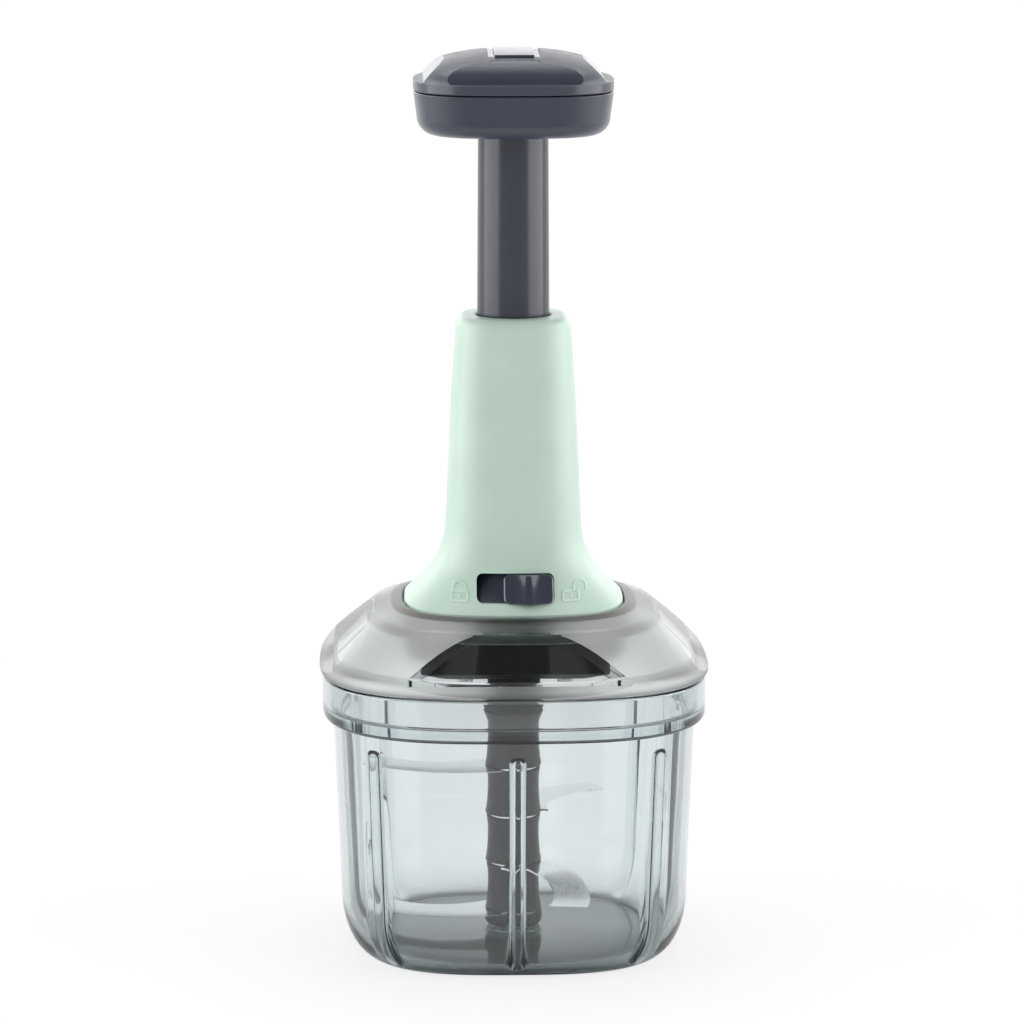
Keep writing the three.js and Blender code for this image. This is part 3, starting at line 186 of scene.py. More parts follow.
def rounded_line(corners, closed=False):
    """Turns corners of (half width, height, fillet radius, power) into a line of (half width, height, power).

    A corner without a power is rounded-square.
    """
    corners = [(*corner, SQUARENESS)[:4] for corner in corners]
    line = []
    for index, (half, height, radius, power) in enumerate(corners):
        at_end = not closed and index in (0, len(corners) - 1)
        if radius == 0 or at_end:
            line.append((half, height, power))
            continue
        here = Vector((half, height))
        before = (Vector(corners[index - 1][:2]) - here).normalized()
        after = (Vector(corners[(index + 1) % len(corners)][:2]) - here).normalized()
        turn = before.angle(after)
        reach = radius / math.tan(turn / 2)
        centre = here + (before + after).normalized() * (radius / math.sin(turn / 2))
        start = here + before * reach - centre
        sweep = start.angle_signed(here + after * reach - centre)
        steps = max(2, math.ceil(abs(sweep) / FILLET_STEP))
        for step in range(steps + 1):
            spoke = Matrix.Rotation(-sweep * step / steps, 2) @ start
            line.append((centre.x + spoke.x, centre.y + spoke.y, power))
    return line


def even_angles(steps):
    return [2 * math.pi * step / steps for step in range(steps)]


def ribbed_angles():
    """Angles round the bowl's plan, close together across the ribs."""
    angles = []
    pitch = 2 * math.pi / rib.count
    for index in range(rib.count):
        middle = index * pitch
        radius = plan_radius(middle, bowl.heel_half, SQUARENESS)
        turns = [share * rib.half_width / radius for share in rib_shares]
        angles += [middle + turn for turn in turns]
        gap = pitch - 2 * turns[-1]
        steps = PLAN_STEPS // rib.count
        angles += [middle + turns[-1] + gap * step / steps for step in range(1, steps)]
    return angles


def between(low, high, share):
    return low + (high - low) * share


def plan_radius(angle, half, power):
    reach = abs(math.cos(angle)) ** power + abs(math.sin(angle)) ** power
    return half / reach ** (1 / power)


def plan_ring(half, height, power, angles):
    ring = []
    for angle in angles:
        radius = plan_radius(angle, half, power)
        ring.append(Vector((radius * math.cos(angle), radius * math.sin(angle), height)))
    return ring


def quarter(start, end, steps):
    """A quarter ellipse from start to end, level at its start."""
    points = []
    for step in range(steps + 1):
        angle = math.pi / 2 * step / steps
        half = between(start[0], end[0], math.sin(angle))
        points.append((half, between(start[1], end[1], 1 - math.cos(angle)), SQUARENESS))
    return points


# Meshes

def make_piece(name, vertices, faces):
    mesh = bpy.data.meshes.new(name)
    mesh.from_pydata([tuple(vertex) for vertex in vertices], [], faces)
    work = bmesh.new()
    work.from_mesh(mesh)
    bmesh.ops.remove_doubles(work, verts=work.verts, dist=JOINED)
    bmesh.ops.recalc_face_normals(work, faces=work.faces)
    work.to_mesh(mesh)
    work.free()
    mesh.update()
    piece = bpy.data.objects.new(name, mesh)
    bpy.context.scene.collection.objects.link(piece)
    return piece


def skin(name, rings, closed=False):
    """A closed surface over rings of equal length: a torus if closed, otherwise with both ends filled."""
    count = len(rings[0])
    vertices = [point for ring in rings for point in ring]
    faces = []
    for row in range(len(rings) if closed else len(rings) - 1):
        low = row * count
        high = ((row + 1) % len(rings)) * count
        for column in range(count):
            beside = (column + 1) % count
            faces.append((low + column, low + beside, high + beside, high + column))
    if not closed:
        for ring, start in ((rings[0], 0), (rings[-1], (len(rings) - 1) * count)):
            centre = len(vertices)
            vertices.append(sum(ring, Vector()) / count)
            faces += [(start + column, start + (column + 1) % count, centre) for column in range(count)]
    return make_piece(name, vertices, faces)


def lofted(name, corners, closed=False, steps=PLAN_STEPS):
    angles = even_angles(steps)
    return skin(name, [plan_ring(*place, angles) for place in rounded_line(corners, closed)], closed)


def turned(name, corners, closed=False, steps=TURN_STEPS, at=(0, 0)):
    piece = lofted(name, [(*corner, ROUND) for corner in corners], closed, steps)
    piece.data.transform(Matrix.Translation((*at, 0)))
    return piece


def turned_solid(name, corners, steps=TURN_STEPS):
    """A turned piece whose outline starts and ends on the axis."""
    return turned(name, [(AXIS, corners[0][1], 0), *corners, (AXIS, corners[-1][1], 0)], steps=steps)


def prism(name, outline, low, high):
    """A closed prism over an outline in x and y."""
    rings = [[Vector((x, y, height)) for x, y in outline] for height in (low, high)]
    return skin(name, rings)


def cylinder(radius, low, high, at=(0, 0), steps=TURN_STEPS // 2):
    return turned("cutter", [(radius, low, 0), (radius, high, 0)], steps=steps, at=at)


def block(xs, ys, zs):
    outline = [(xs[0], ys[0]), (xs[1], ys[0]), (xs[1], ys[1]), (xs[0], ys[1])]
    return prism("cutter", outline, *zs)


def combine(piece, tool, operation):
    modifier = piece.modifiers.new("combine", "BOOLEAN")
    modifier.operation = operation
    modifier.solver = "EXACT"
    modifier.object = tool
    graph = bpy.context.evaluated_depsgraph_get()
    result = bpy.data.meshes.new_from_object(piece.evaluated_get(graph), depsgraph=graph)
    piece.modifiers.remove(modifier)
    spent = (piece.data, tool.data)
    piece.data = result
    bpy.data.objects.remove(tool)
    for mesh in spent:
        bpy.data.meshes.remove(mesh)


def cut(piece, *tools):
    for tool in tools:
        combine(piece, tool, "DIFFERENCE")


def drill(piece, radius, low, high, places):
    for place in places:
        cut(piece, cylinder(radius, low, high, place))


def weld(piece, *tools):
    for tool in tools:
        combine(piece, tool, "UNION")


def sharpen_borders(mesh):
    """Makes each edge crisp where a frosted face meets a polished one."""
    work = bmesh.new()
    work.from_mesh(mesh)
    frosted = work.faces.layers.float.get(FROSTED)
    if frosted:
        for edge in work.edges:
            if len({face[frosted] for face in edge.link_faces}) > 1:
                edge.smooth = False
        work.to_mesh(mesh)
    work.free()


def finish_surface(piece, body, finish, *nodes, slot_name=None, bevel=0.0):
    """Shades a piece, gives it its material and bevels, and puts it on its body in place of CAD nodes."""
    mesh = piece.data
    mesh.materials.append(finishes[finish])
    mesh.set_sharp_from_angle(angle=SHARP)
    sharpen_borders(mesh)
    if bevel:
        edge = piece.modifiers.new("edge", "BEVEL")
        edge.width = bevel
        edge.segments = 2
        edge.limit_method = "ANGLE"
        edge.angle_limit = SHARP
    normals = piece.modifiers.new("normals", "WEIGHTED_NORMAL")
    normals.keep_sharp = True
    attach(piece, body)
    if nodes:
        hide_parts(*nodes)


def facet_half(size, height):
    """Distance of a facet from the axis, flat from its foot to its top or slightly bulging."""
    share = (height - size.foot) / (size.top - size.foot)
    return between(size.low_half, size.top_half, share) + 4 * size.bulge * share * (1 - share)


def facet_tool(size, reach, steps=8):
    """Four wedges that cut facets into the sides of a rounded-square cone."""
    ledge = size.foot - size.ledge_drop
    slope = (size.low_half - size.top_half) / (size.top - size.foot)
    far = reach + OVERRUN
    top = size.top + OVERRUN
    ledge_fall = (far - facet_half(size, ledge)) * size.ledge_slope
    heights = [between(size.top, ledge, step / steps) for step in range(steps + 1)]
    section = [(size.top_half - slope * OVERRUN, top)]
    section += [(facet_half(size, height), height) for height in heights]
    section += [(far, ledge - ledge_fall), (far, top)]
    wedges = []
    for index in range(4):
        turn = Matrix.Rotation(math.pi / 2 * index, 4, "Z")
        rings = [[turn @ Vector((half, side, height)) for half, height in section] for side in (-far, far)]
        wedges.append(skin("wedge", rings))
    return wedges


def plan_half(point):
    """Half width of the rounded-square plan that passes through a point."""
    return (abs(point.x) ** SQUARENESS + abs(point.y) ** SQUARENESS) ** (1 / SQUARENESS)


def mark_faces(piece, name, chosen):
    marks = piece.data.attributes.new(name, "FLOAT", "FACE")
    for face, mark in zip(piece.data.polygons, marks.data):
        mark.value = 1.0 if chosen(face) else 0.0


def on_facet(size, point):
    within = size.foot - size.ledge_drop < point.z < size.top
    return within and abs(max(abs(point.x), abs(point.y)) - facet_half(size, point.z)) < TOUCH


def on_frosted_cone(face):
    """The lid's outer cone, rim and lip are frosted. Its facets and all other faces are polished."""
    centre = face.center
    half = plan_half(centre)
    on_top = face.normal.z > FACING and half > lid.lip_inner and centre.z > lid.cone_foot_height
    on_rim = centre.z > lid.bottom + lid.rim_edge and half > facet.low_half and face.normal.z > -FACING
    return (on_top or on_rim) and not on_facet(facet, centre)


def on_satin_dome(face):
    """The handle's dome is satin with a painted sheen, apart from its facets and the channel round the pad.
    """
    in_channel = abs(face.center.x) < pad.half_width + pad.groove
    return face.normal.z > FACING and not in_channel and not on_facet(handle_facet, face.center)


def on_collar_edge(face):
    """The rounded lower edge of the bowl's collar, whose faces take a painted shade standing in for the line
    that refraction draws there.
    """
    height = face.center.z - bowl.neck_height
    at_edge = plan_half(face.center) > bowl.collar_half - bowl.collar_edge
    return -SEAT < height < bowl.collar_edge and at_edge


# Materials

class Nodes:
    """The node tree of a material or a world, with short ways to add nodes and join them."""

    def __init__(self, owner):
        owner.use_nodes = True
        self.tree = owner.node_tree
        self.tree.nodes.clear()

    def node(self, kind, **values):
        made = self.tree.nodes.new(kind)
        for key, value in values.items():
            setattr(made, key, value)
        return made

    def link(self, source, target):
        self.tree.links.new(source, target)

    def put(self, value, target):
        """Joins an output to an input, or sets the input to a number or a colour."""
        if isinstance(value, bpy.types.NodeSocket):
            self.link(value, target)
        else:
            target.default_value = (*value, 1) if isinstance(value, tuple) else value

    def feed(self, inputs, **values):
        """Puts values into inputs, by names in which _ stands for a space."""
        for key, value in values.items():
            self.put(value, inputs[key.replace("_", " ")])

    def fade(self, source, start, end, low, high, kind="SMOOTHSTEP"):
        """low up to start, then a change to high at end."""
        made = self.node("ShaderNodeMapRange", interpolation_type=kind)
        self.feed(made.inputs, Value=source, From_Min=start, From_Max=end, To_Min=low, To_Max=high)
        return made.outputs["Result"]

    def spread(self, source, low, high, start=0.35, end=0.65):
        return self.fade(source, start, end, low, high, "LINEAR")

    def arithmetic(self, operation, *values):
        made = self.node("ShaderNodeMath", operation=operation)
        for value, target in zip(values, made.inputs):
            self.put(value, target)
        return made.outputs["Value"]

    def split(self, vector):
        made = self.node("ShaderNodeSeparateXYZ")
        self.link(vector, made.inputs["Vector"])
        return made.outputs

    def unscattered(self, ray):
        """1 on one kind of ray before any matt surface has scattered it, and 0 on all others."""
        path = self.node("ShaderNodeLightPath").outputs
        direct = self.arithmetic("LESS_THAN", path["Diffuse Depth"], 0.5)
        return self.arithmetic("MULTIPLY", path[ray], direct)

    def mix_shaders(self, factor, first, second):
        made = self.node("ShaderNodeMixShader")
        for value, target in zip((factor, first, second), made.inputs):
            self.link(value, target)
        return made.outputs["Shader"]

    def show(self, output, shader):
        self.link(shader, self.node(output).inputs["Surface"])


class Shader(Nodes):
    """One procedural material: a Principled shader and the nodes that vary its inputs."""

    def __init__(self, name):
        self.material = bpy.data.materials.new(name)
        super().__init__(self.material)
        self.output = self.node("ShaderNodeOutputMaterial")
        self.surface = self.node("ShaderNodeBsdfPrincipled")
        self.link(self.surface.outputs["BSDF"], self.output.inputs["Surface"])
        self.place = self.node("ShaderNodeTexCoord").outputs["Object"]

    def set(self, **values):
        self.feed(self.surface.inputs, **values)

    def noise(self, scale, detail, stretch=(1, 1, 1)):
        mapping = self.node("ShaderNodeMapping")
        mapping.inputs["Scale"].default_value = stretch
        self.link(self.place, mapping.inputs["Vector"])
        noise = self.node("ShaderNodeTexNoise")
        self.feed(noise.inputs, Scale=scale, Detail=detail, Vector=mapping.outputs["Vector"])
        return noise.outputs["Fac"]

    def blend(self, factor, first, second):
        mix = self.node("ShaderNodeMix", data_type="RGBA")
        self.put(factor, mix.inputs["Factor"])
        self.put(first, mix.inputs[6])
        self.put(second, mix.inputs[7])
        return mix.outputs[2]

    def mark(self, name):
        """1 on the faces marked with a name and 0 on all others."""
        return self.node("ShaderNodeAttribute", attribute_name=name).outputs["Fac"]

    def edges(self, radius):
        """About 0 on open surface and rising to 1 on a rounded edge."""
        bevel = self.node("ShaderNodeBevel", samples=4)
        bevel.inputs["Radius"].default_value = radius
        dot = self.node("ShaderNodeVectorMath", operation="DOT_PRODUCT")
        self.link(bevel.outputs["Normal"], dot.inputs[0])
        self.link(self.node("ShaderNodeNewGeometry").outputs["Normal"], dot.inputs[1])
        return self.spread(dot.outputs["Value"], 1, 0, 0.8, 1.0)

    def bump(self, source, strength, distance):
        bump = self.node("ShaderNodeBump")
        self.feed(bump.inputs, Strength=strength, Distance=distance, Height=source)
        self.set(Normal=bump.outputs["Normal"])

    def absorb(self, colour, density):
        volume = self.node("ShaderNodeVolumeAbsorption")
        self.feed(volume.inputs, Color=colour, Density=density)
        self.link(volume.outputs["Volume"], self.output.inputs["Volume"])


# Scales of the noise, depths of its bumps in metres, their strengths, and shares by which it changes a value
texture = Sizes(
    drift=45, smudge=300, spark=2600, ripple=90, frost=1800, brush=500,
    spark_depth=0.00003, ripple_depth=0.0002, frost_depth=0.00004, brush_depth=0.00002, rubbed_edge=0.0005,
)
drift_shares = (0.97, 1.03)
smudge_shares = (0.92, 1.1)
ripple_shares = (0.8, 1.2)
frost_shares = (0.85, 1.15)
brush_tint_shares = (0.9, 1.06)
brush_shares = (0.7, 1.4)
coat_roughness = 0.1
plastic_index = 1.57
relief = Sizes(ripple=0.02, frost=0.3, brush=0.15)
frost = Sizes(roughness=0.36, scatter=(0.02, 0.27))

mint = (0.50, 0.645, 0.555)
navy = (0.042, 0.048, 0.070)
knob_navy = (0.038, 0.044, 0.066)
# tint of the painted sheen on satin faces
painted_sheen_tint = (0.80, 0.84, 0.90)
near_black = (0.012, 0.013, 0.015)
shaft_grey = (0.048, 0.047, 0.049)
nylon = (0.62, 0.61, 0.57)
steel = (0.62, 0.63, 0.64)
blade_steel = (0.93, 0.94, 0.95)
clear = (1, 1, 1)
bowl_absorb = (0.40, 0.55, 0.58)
lid_absorb = (0.50, 0.56, 0.56)
frost_pale = (0.94, 0.96, 0.96)
# painted shade that the frost takes by the seam and the lip
frost_painted_shade = (0.24, 0.23, 0.22)
# painted shade on the bowl collar's lower edge
collar_painted_shade = (0.03, 0.035, 0.035)


def tinted(colour, factor):
    return tuple(min(1.0, channel * factor) for channel in colour)


def around(value, shares):
    return [value * share for share in shares]


def moulded(name, colour, roughness, grain, wear, coat=0.0, index=1.5, satin=1.0, satin_painted_sheen=0.0):
    """Moulded plastic: slight colour drift, fine spark grain, rubbed edges, and satin on its marked faces,
    where a painted sheen also lifts the colour lighter and greyer.
    """
    shader = Shader(name)
    drift = shader.spread(shader.noise(texture.drift, 2), 0, 1)
    body = shader.blend(drift, *[tinted(colour, share) for share in drift_shares])
    rubbed = shader.blend(shader.edges(texture.rubbed_edge), body, tinted(colour, wear))
    mask = shader.mark(FROSTED)
    # painted sheen: satin faces are lifted towards a pale grey-blue, standing in for the light they catch
    painted_sheen_colour = tuple(channel + (1 - channel) * satin_painted_sheen * haze for channel, haze in zip(colour, painted_sheen_tint))
    rough = shader.spread(shader.noise(texture.smudge, 4), *around(roughness, smudge_shares))
    rougher = shader.spread(mask, 1, satin, 0, 1)
    shader.set(Base_Color=shader.blend(mask, rubbed, painted_sheen_colour), IOR=index, Coat_Weight=coat,
               Roughness=shader.arithmetic("MULTIPLY", rough, rougher))
    shader.surface.inputs["Coat Roughness"].default_value = coat_roughness
    shader.bump(shader.noise(texture.spark, 2), grain, texture.spark_depth)
    return shader.material


def clear_plastic(name, absorb, density, roughness, painted_shade_tint):
    """Clear moulded plastic with a faint ripple, and a painted shade, a deep tint, on the faces marked for
    it.
    """
    shader = Shader(name)
    fine = shader.noise(texture.ripple, 3)
    shader.set(IOR=plastic_index, Transmission_Weight=1,
               Roughness=shader.spread(fine, *around(roughness, ripple_shares)),
               Base_Color=shader.blend(shader.mark(PAINTED_SHADE), clear, painted_shade_tint))
    shader.bump(fine, relief.ripple, texture.ripple_depth)
    shader.absorb(absorb, density)
    return shader.material


def frosted_plastic(name, absorb, density, roughness):
    """Clear plastic, frosted on its marked faces: more at the corners, with a painted shade by the seam and
    by the lip round the tower's foot.
    """
    shader = Shader(name)
    mask = shader.mark(FROSTED)
    x, y, height = shader.split(shader.place)
    corner = shader.arithmetic("ABSOLUTE", shader.arithmetic("MULTIPLY", x, y))
    scatter = shader.fade(corner, *lid_shade.corner, *frost.scatter)
    # painted shade: the frost's colour falls towards a grey near the seam and near the lip
    shade = shader.arithmetic("ADD", shader.fade(height, *lid_shade.seam, 1, 0),
                              shader.fade(height, *lid_shade.lip, 0, 1))
    grain = shader.noise(texture.frost, 3)
    mix = shader.node("ShaderNodeMix")
    shader.feed(mix.inputs, Factor=mask, A=roughness,
                B=shader.spread(grain, *around(frost.roughness, frost_shares)))
    opaque = shader.arithmetic("MULTIPLY", mask, scatter)
    shader.set(IOR=plastic_index, Roughness=mix.outputs["Result"],
               Base_Color=shader.blend(mask, clear, shader.blend(shade, frost_pale, frost_painted_shade)),
               Transmission_Weight=shader.arithmetic("SUBTRACT", 1.0, opaque))
    shader.bump(shader.arithmetic("MULTIPLY", grain, mask), relief.frost, texture.frost_depth)
    shader.absorb(absorb, density)
    return shader.material


def metal(name, colour, roughness, stretch):
    """Brushed or ground metal, with its streaks along the short axis of stretch."""
    shader = Shader(name)
    streaks = shader.noise(texture.brush, 4, stretch)
    tints = [tinted(colour, share) for share in brush_tint_shares]
    shader.set(Metallic=1.0, Base_Color=shader.blend(shader.spread(streaks, 0, 1), *tints),
               Roughness=shader.spread(streaks, *around(roughness, brush_shares)))
    shader.bump(streaks, relief.brush, texture.brush_depth)
    return shader.material


finishes = {
    "tower_mint": moulded("mint_plastic", mint, roughness=0.34, grain=0.2, wear=1.12),
    # the handle's satin dome carries a painted sheen
    "handle_navy": moulded("handle_navy_plastic", navy, roughness=0.24, grain=0.12, wear=1.4, satin=1.7,
                           satin_painted_sheen=0.07),
    "pad_navy": moulded("pad_navy_plastic", navy, roughness=0.22, grain=0.12, wear=1.2),
    "tube_navy": moulded("tube_navy_plastic", tinted(navy, 0.7), roughness=0.22, grain=0.06, wear=1.3),
    "knob_dark": moulded("knob_plastic", knob_navy, roughness=0.22, grain=0.1, wear=1.8, coat=0.3),
    "cover_black": moulded("cover_plastic", near_black, roughness=0.5, grain=0.25, wear=1.5, index=1.2),
    "shaft_grey": moulded("shaft_plastic", shaft_grey, roughness=0.35, grain=0.06, wear=1.4, index=1.35),
    "hub_black": moulded("hub_plastic", near_black, roughness=0.4, grain=0.2, wear=1.5, index=1.2),
    "nylon_white": moulded("nylon", nylon, roughness=0.45, grain=0.3, wear=1.05),
    "bowl_clear": clear_plastic("bowl_plastic", bowl_absorb, density=96, roughness=0.02, painted_shade_tint=collar_painted_shade),
    "lid_frosted": frosted_plastic("lid_plastic", lid_absorb, density=75, roughness=0.02),
    "steel_parts": metal("turned_steel", steel, roughness=0.25, stretch=(1, 1, 6)),
    "blade_steel": metal("blade_steel", blade_steel, roughness=0.16, stretch=(8, 1, 1)),
}


# Bowl

def bowl_ribs(ring, height):
    """Moves an inner wall ring inwards where the ribs stand."""
    pitch = 2 * math.pi / rib.count
    cap = max(0.0, (height - (rib.top - rib.half_width)) / rib.half_width)
    foot = min(1.0, max(0.0, (height - bowl.floor) / rib.fade))
    moved = []
    for point in ring:
        radius = math.hypot(point.x, point.y)
        angle = math.atan2(point.y, point.x)
        off = angle - round(angle / pitch) * pitch
        beside = radius * math.sin(off) / rib.half_width
        bulge = math.sqrt(max(0.0, 1 - beside ** 2 - cap ** 2))
        scale = (radius - rib.depth * foot * bulge) / radius
        moved.append(Vector((point.x * scale, point.y * scale, point.z)))
    return moved


def make_bowl():
    outer = [
        (bowl.boss_radius, 0, ROUND),
        *quarter((bowl.base_half, 0), (bowl.heel_half, bowl.heel_height), bowl.heel_steps),
        *rounded_line([
            (bowl.heel_half, bowl.heel_height, 0),
            (bowl.neck_half, bowl.neck_height, bowl.edge),
            (bowl.collar_half, bowl.neck_height, bowl.collar_edge),
            (bowl.collar_half, bowl.collar_top, bowl.rim_edge),
            (bowl.collar_half - bowl.collar_wall, bowl.collar_top, bowl.rim_edge),
            (bowl.collar_half - bowl.collar_wall, bowl.ledge_top, bowl.lip_edge),
            (bowl.neck_half - bowl.wall, bowl.ledge_top - SEAT, bowl.lip_edge),
            (bowl.neck_half - bowl.wall, bowl.neck_height, 0),
        ])[1:],
    ]
    wall_low = bowl.heel_half - bowl.wall
    wall_high = bowl.neck_half - bowl.wall
    cap_low = rib.top - rib.half_width
    heights = [rib.top - rib.half_width * (1 - step / rib.cap_steps) ** 2
               for step in range(rib.cap_steps + 1)]
    heights += [between(bowl.heel_height, cap_low, step / bowl.wall_steps)
                for step in range(1, bowl.wall_steps)]
    wall = []
    for height in sorted(heights, reverse=True):
        share = (height - bowl.heel_height) / (bowl.neck_height - bowl.heel_height)
        wall.append((between(wall_low, wall_high, share), height, SQUARENESS))
    heel = quarter((bowl.base_half - bowl.wall, bowl.floor), (wall_low, bowl.heel_height), bowl.heel_steps)
    floor = rounded_line([
        (bowl.base_half - bowl.wall, bowl.floor, 0),
        (bowl.boss_radius, bowl.floor, bowl.edge, ROUND),
        (bowl.boss_top_radius, bowl.boss_top, bowl.lip_edge, ROUND),
        (bowl.pin_hole, bowl.boss_top, 0, ROUND),
        (bowl.pin_hole, bowl.pin_floor, 0, ROUND),
    ])[1:]
    angles = ribbed_angles()
    rings = [plan_ring(*place, angles) for place in outer]
    rings += [bowl_ribs(plan_ring(*place, angles), place[1]) for place in [*wall, *reversed(heel)]]
    rings += [plan_ring(*place, angles) for place in floor]
    piece = skin("bowl_fine", rings)
    # the collar's lower edge takes a painted shade
    mark_faces(piece, PAINTED_SHADE, on_collar_edge)
    finish_surface(piece, "bowl", "bowl_clear", "bowl")


def make_pin():
    piece = turned_solid("pivot_pin_fine", [(pin.radius, pin.bottom, 0), (pin.radius, pin.top, pin.tip)])
    finish_surface(piece, "bowl", "steel_parts", "bowl_pivot_pin")


# Blade unit

def ring_height(place):
    return stack.first + stack.pitch * place


def hex_tool(radius, low, high):
    return cylinder(radius, low, high, steps=HEX_STEPS)


def segment_line(bottom, top, top_radius):
    line = [(stack.ring, bottom, stack.edge)]
    for height_share, flare_share in segment_shares:
        radius = between(stack.waist, stack.ring, flare_share)
        line.append((radius, between(bottom, top, height_share), 0))
    return line + [(top_radius, top, stack.edge)]


def make_stack():
    top = stack.first - stack.half_gap
    foot = turned_solid("shaft_foot_fine", [
        (stack.foot, stack.bottom, stack.foot_round), (stack.ring, top, stack.edge),
    ])
    cut(foot, cylinder(stack.bush_bore, stack.bottom - OVERRUN, top + OVERRUN))
    finish_surface(foot, "blade_unit", "shaft_grey", "shaft_foot")
    last = len(blade_degrees) - 1
    for place in range(last):
        low = ring_height(place) + stack.half_gap
        high = ring_height(place + 1) - stack.half_gap
        line = segment_line(low, high, stack.ring - stack.half_gap)
        piece = turned_solid(f"shaft_segment_{place + 1}_fine", line)
        cut(piece, hex_tool(stack.bore + SEAT, low - OVERRUN, high + OVERRUN))
        if place == 0:
            cut(piece, cylinder(stack.bush_bore, low - OVERRUN, stack.bush_top))
        finish_surface(piece, "blade_unit", "shaft_grey", f"shaft_segment_{place + 1}")
    low = ring_height(last) + stack.half_gap
    piece = turned_solid("shaft_top_fine", segment_line(low, stack.top, stack.top_ring))
    weld(piece, hex_tool(stack.spigot, stack.top - stack.half_gap, stack.spigot_top))
    cut(piece, hex_tool(stack.bore + SEAT, low - OVERRUN, stack.core_top))
    finish_surface(piece, "blade_unit", "shaft_grey", "shaft_top", bevel=stack.edge)


def arc_height(centre_shares, radius_share, share):
    return centre_shares[1] + math.sqrt(radius_share ** 2 - (share - centre_shares[0]) ** 2)


def make_blade(place):
    """A ground sickle: flat underneath, with a long bevel down to the convex edge on its upper side."""
    shares = sickle_shares
    reach = blade.reach
    bottom = ring_height(place) - blade.thickness / 2
    rings = []
    for step in range(blade.steps + 1):
        along = step / blade.steps
        back_x = between(shares.root, 1, along)
        belly_x = between(shares.belly_root, shares.belly_tip, along)
        back = Vector((back_x, arc_height(shares.back_centre, shares.back_radius, back_x))) * reach
        belly = Vector((belly_x, arc_height(shares.belly_centre, shares.belly_radius, belly_x))) * reach
        width = (back - belly).length
        bevel = min(blade.bevel, width * shares.widest_bevel)
        inner = back + (belly - back) * (bevel / width)
        ring = []
        for point, height in ((belly, 0), (back, 0), (back, blade.edge), (inner, blade.thickness),
                              (belly, blade.thickness)):
            past = (point.length / reach - shares.dip_start) / (shares.dip_end - shares.dip_start)
            away = min(1.0, max(0.0, past))
            dip = away * away * (3 - 2 * away) * blade.dip * blade_dip_shares[place]
            ring.append(Vector((point.x, point.y, bottom + height - dip)))
        rings.append(ring)
    piece = skin(f"blade_{place + 1}_fine", rings)
    disc = stack.ring - 3 * stack.half_gap
    weld(piece, cylinder(disc, bottom, bottom + blade.thickness, steps=TURN_STEPS))
    if place == 0:
        cut(piece, cylinder(stack.bush_bore, bottom - OVERRUN, bottom + OVERRUN))
    else:
        cut(piece, hex_tool(stack.bore + SEAT, bottom - OVERRUN, bottom + OVERRUN))
    piece.data.transform(Matrix.Rotation(math.radians(blade_degrees[place]), 4, "Z"))
    finish_surface(piece, "blade_unit", "blade_steel", f"blade_{place + 1}")


# Lid, its gear cover and the driven hub

def four_places(x, y):
    return [(x * side, y * end) for side in (-1, 1) for end in (-1, 1)]


def make_lid():
    line = [
        (lid.skirt_inner, lid.skirt_bottom, lid.rim_edge),
        (lid.skirt_outer, lid.skirt_bottom, lid.rim_edge),
        (lid.skirt_outer, lid.bottom, lid.rim_edge),
        (lid.half, lid.bottom, lid.rim_edge),
        (lid.half, lid.cone_foot_height, lid.soft_edge),
        (lid.cone_top_half, lid.cone_top, lid.shoulder),
        (lid.lip_half, lid.lip_top, lid.lip_edge),
        (lid.lip_inner, lid.lip_top, lid.lip_edge),
        (lid.lip_inner, lid.recess, lid.lip_edge),
        (lid.bore, lid.recess, 0, ROUND),
        (lid.bore, lid.bearing_bottom, 0, ROUND),
        (lid.bearing, lid.bearing_bottom, lid.lip_edge, ROUND),
        (lid.bearing, lid.deck, lid.lip_edge, ROUND),
        (lid.deck_half, lid.deck, lid.inner_edge),
        (lid.cone_top_half, lid.under_top, lid.inner_edge),
        (lid.skirt_inner, lid.under_foot, lid.inner_edge),
    ]
    piece = lofted("lid_fine", line, closed=True)
    cut(piece, *facet_tool(facet, lid.half))
    for place in four_places(lid_post.offset, lid_post.offset):
        weld(piece, cylinder(lid_post.radius, lid_post.bottom, lid.deck + lid_post.sunk, place))
        cut(piece, cylinder(pilot, lid_post.bottom - OVERRUN, lid_post.bottom + screw.length, place))
    drill(piece, pilot, lid.deck - OVERRUN, lid.recess + OVERRUN, four_places(tower_boss.x, tower_boss.y))
    mark_faces(piece, FROSTED, on_frosted_cone)
    finish_surface(piece, "lid", "lid_frosted", "lid")


def make_cover():
    line = [
        (cover.bore, cover.sleeve_bottom, 0, ROUND),
        (cover.sleeve, cover.sleeve_bottom, bowl.lip_edge, ROUND),
        (cover.sleeve, cover.bottom, bowl.lip_edge, ROUND),
        (cover.bottom_half, cover.bottom, cover.edge, cover.power),
        (cover.rim_half, cover.rim, cover.edge, cover.power),
        (cover.top_half, cover.top, bowl.lip_edge, cover.power),
        (cover.top_half - cover.wall, cover.top, bowl.lip_edge, cover.power),
        (cover.rim_half - cover.wall, cover.rim + cover.wall, cover.edge, cover.power),
        (cover.bottom_half - cover.wall, cover.floor, cover.edge, cover.power),
        (cover.bore, cover.floor, 0, ROUND),
    ]
    piece = lofted("gear_cover_fine", line, closed=True)
    places = four_places(lid_post.offset, lid_post.offset)
    drill(piece, cover.screw_hole, cover.bottom - OVERRUN, cover.floor + OVERRUN, places)
    finish_surface(piece, "lid", "cover_black", "gear_cover")


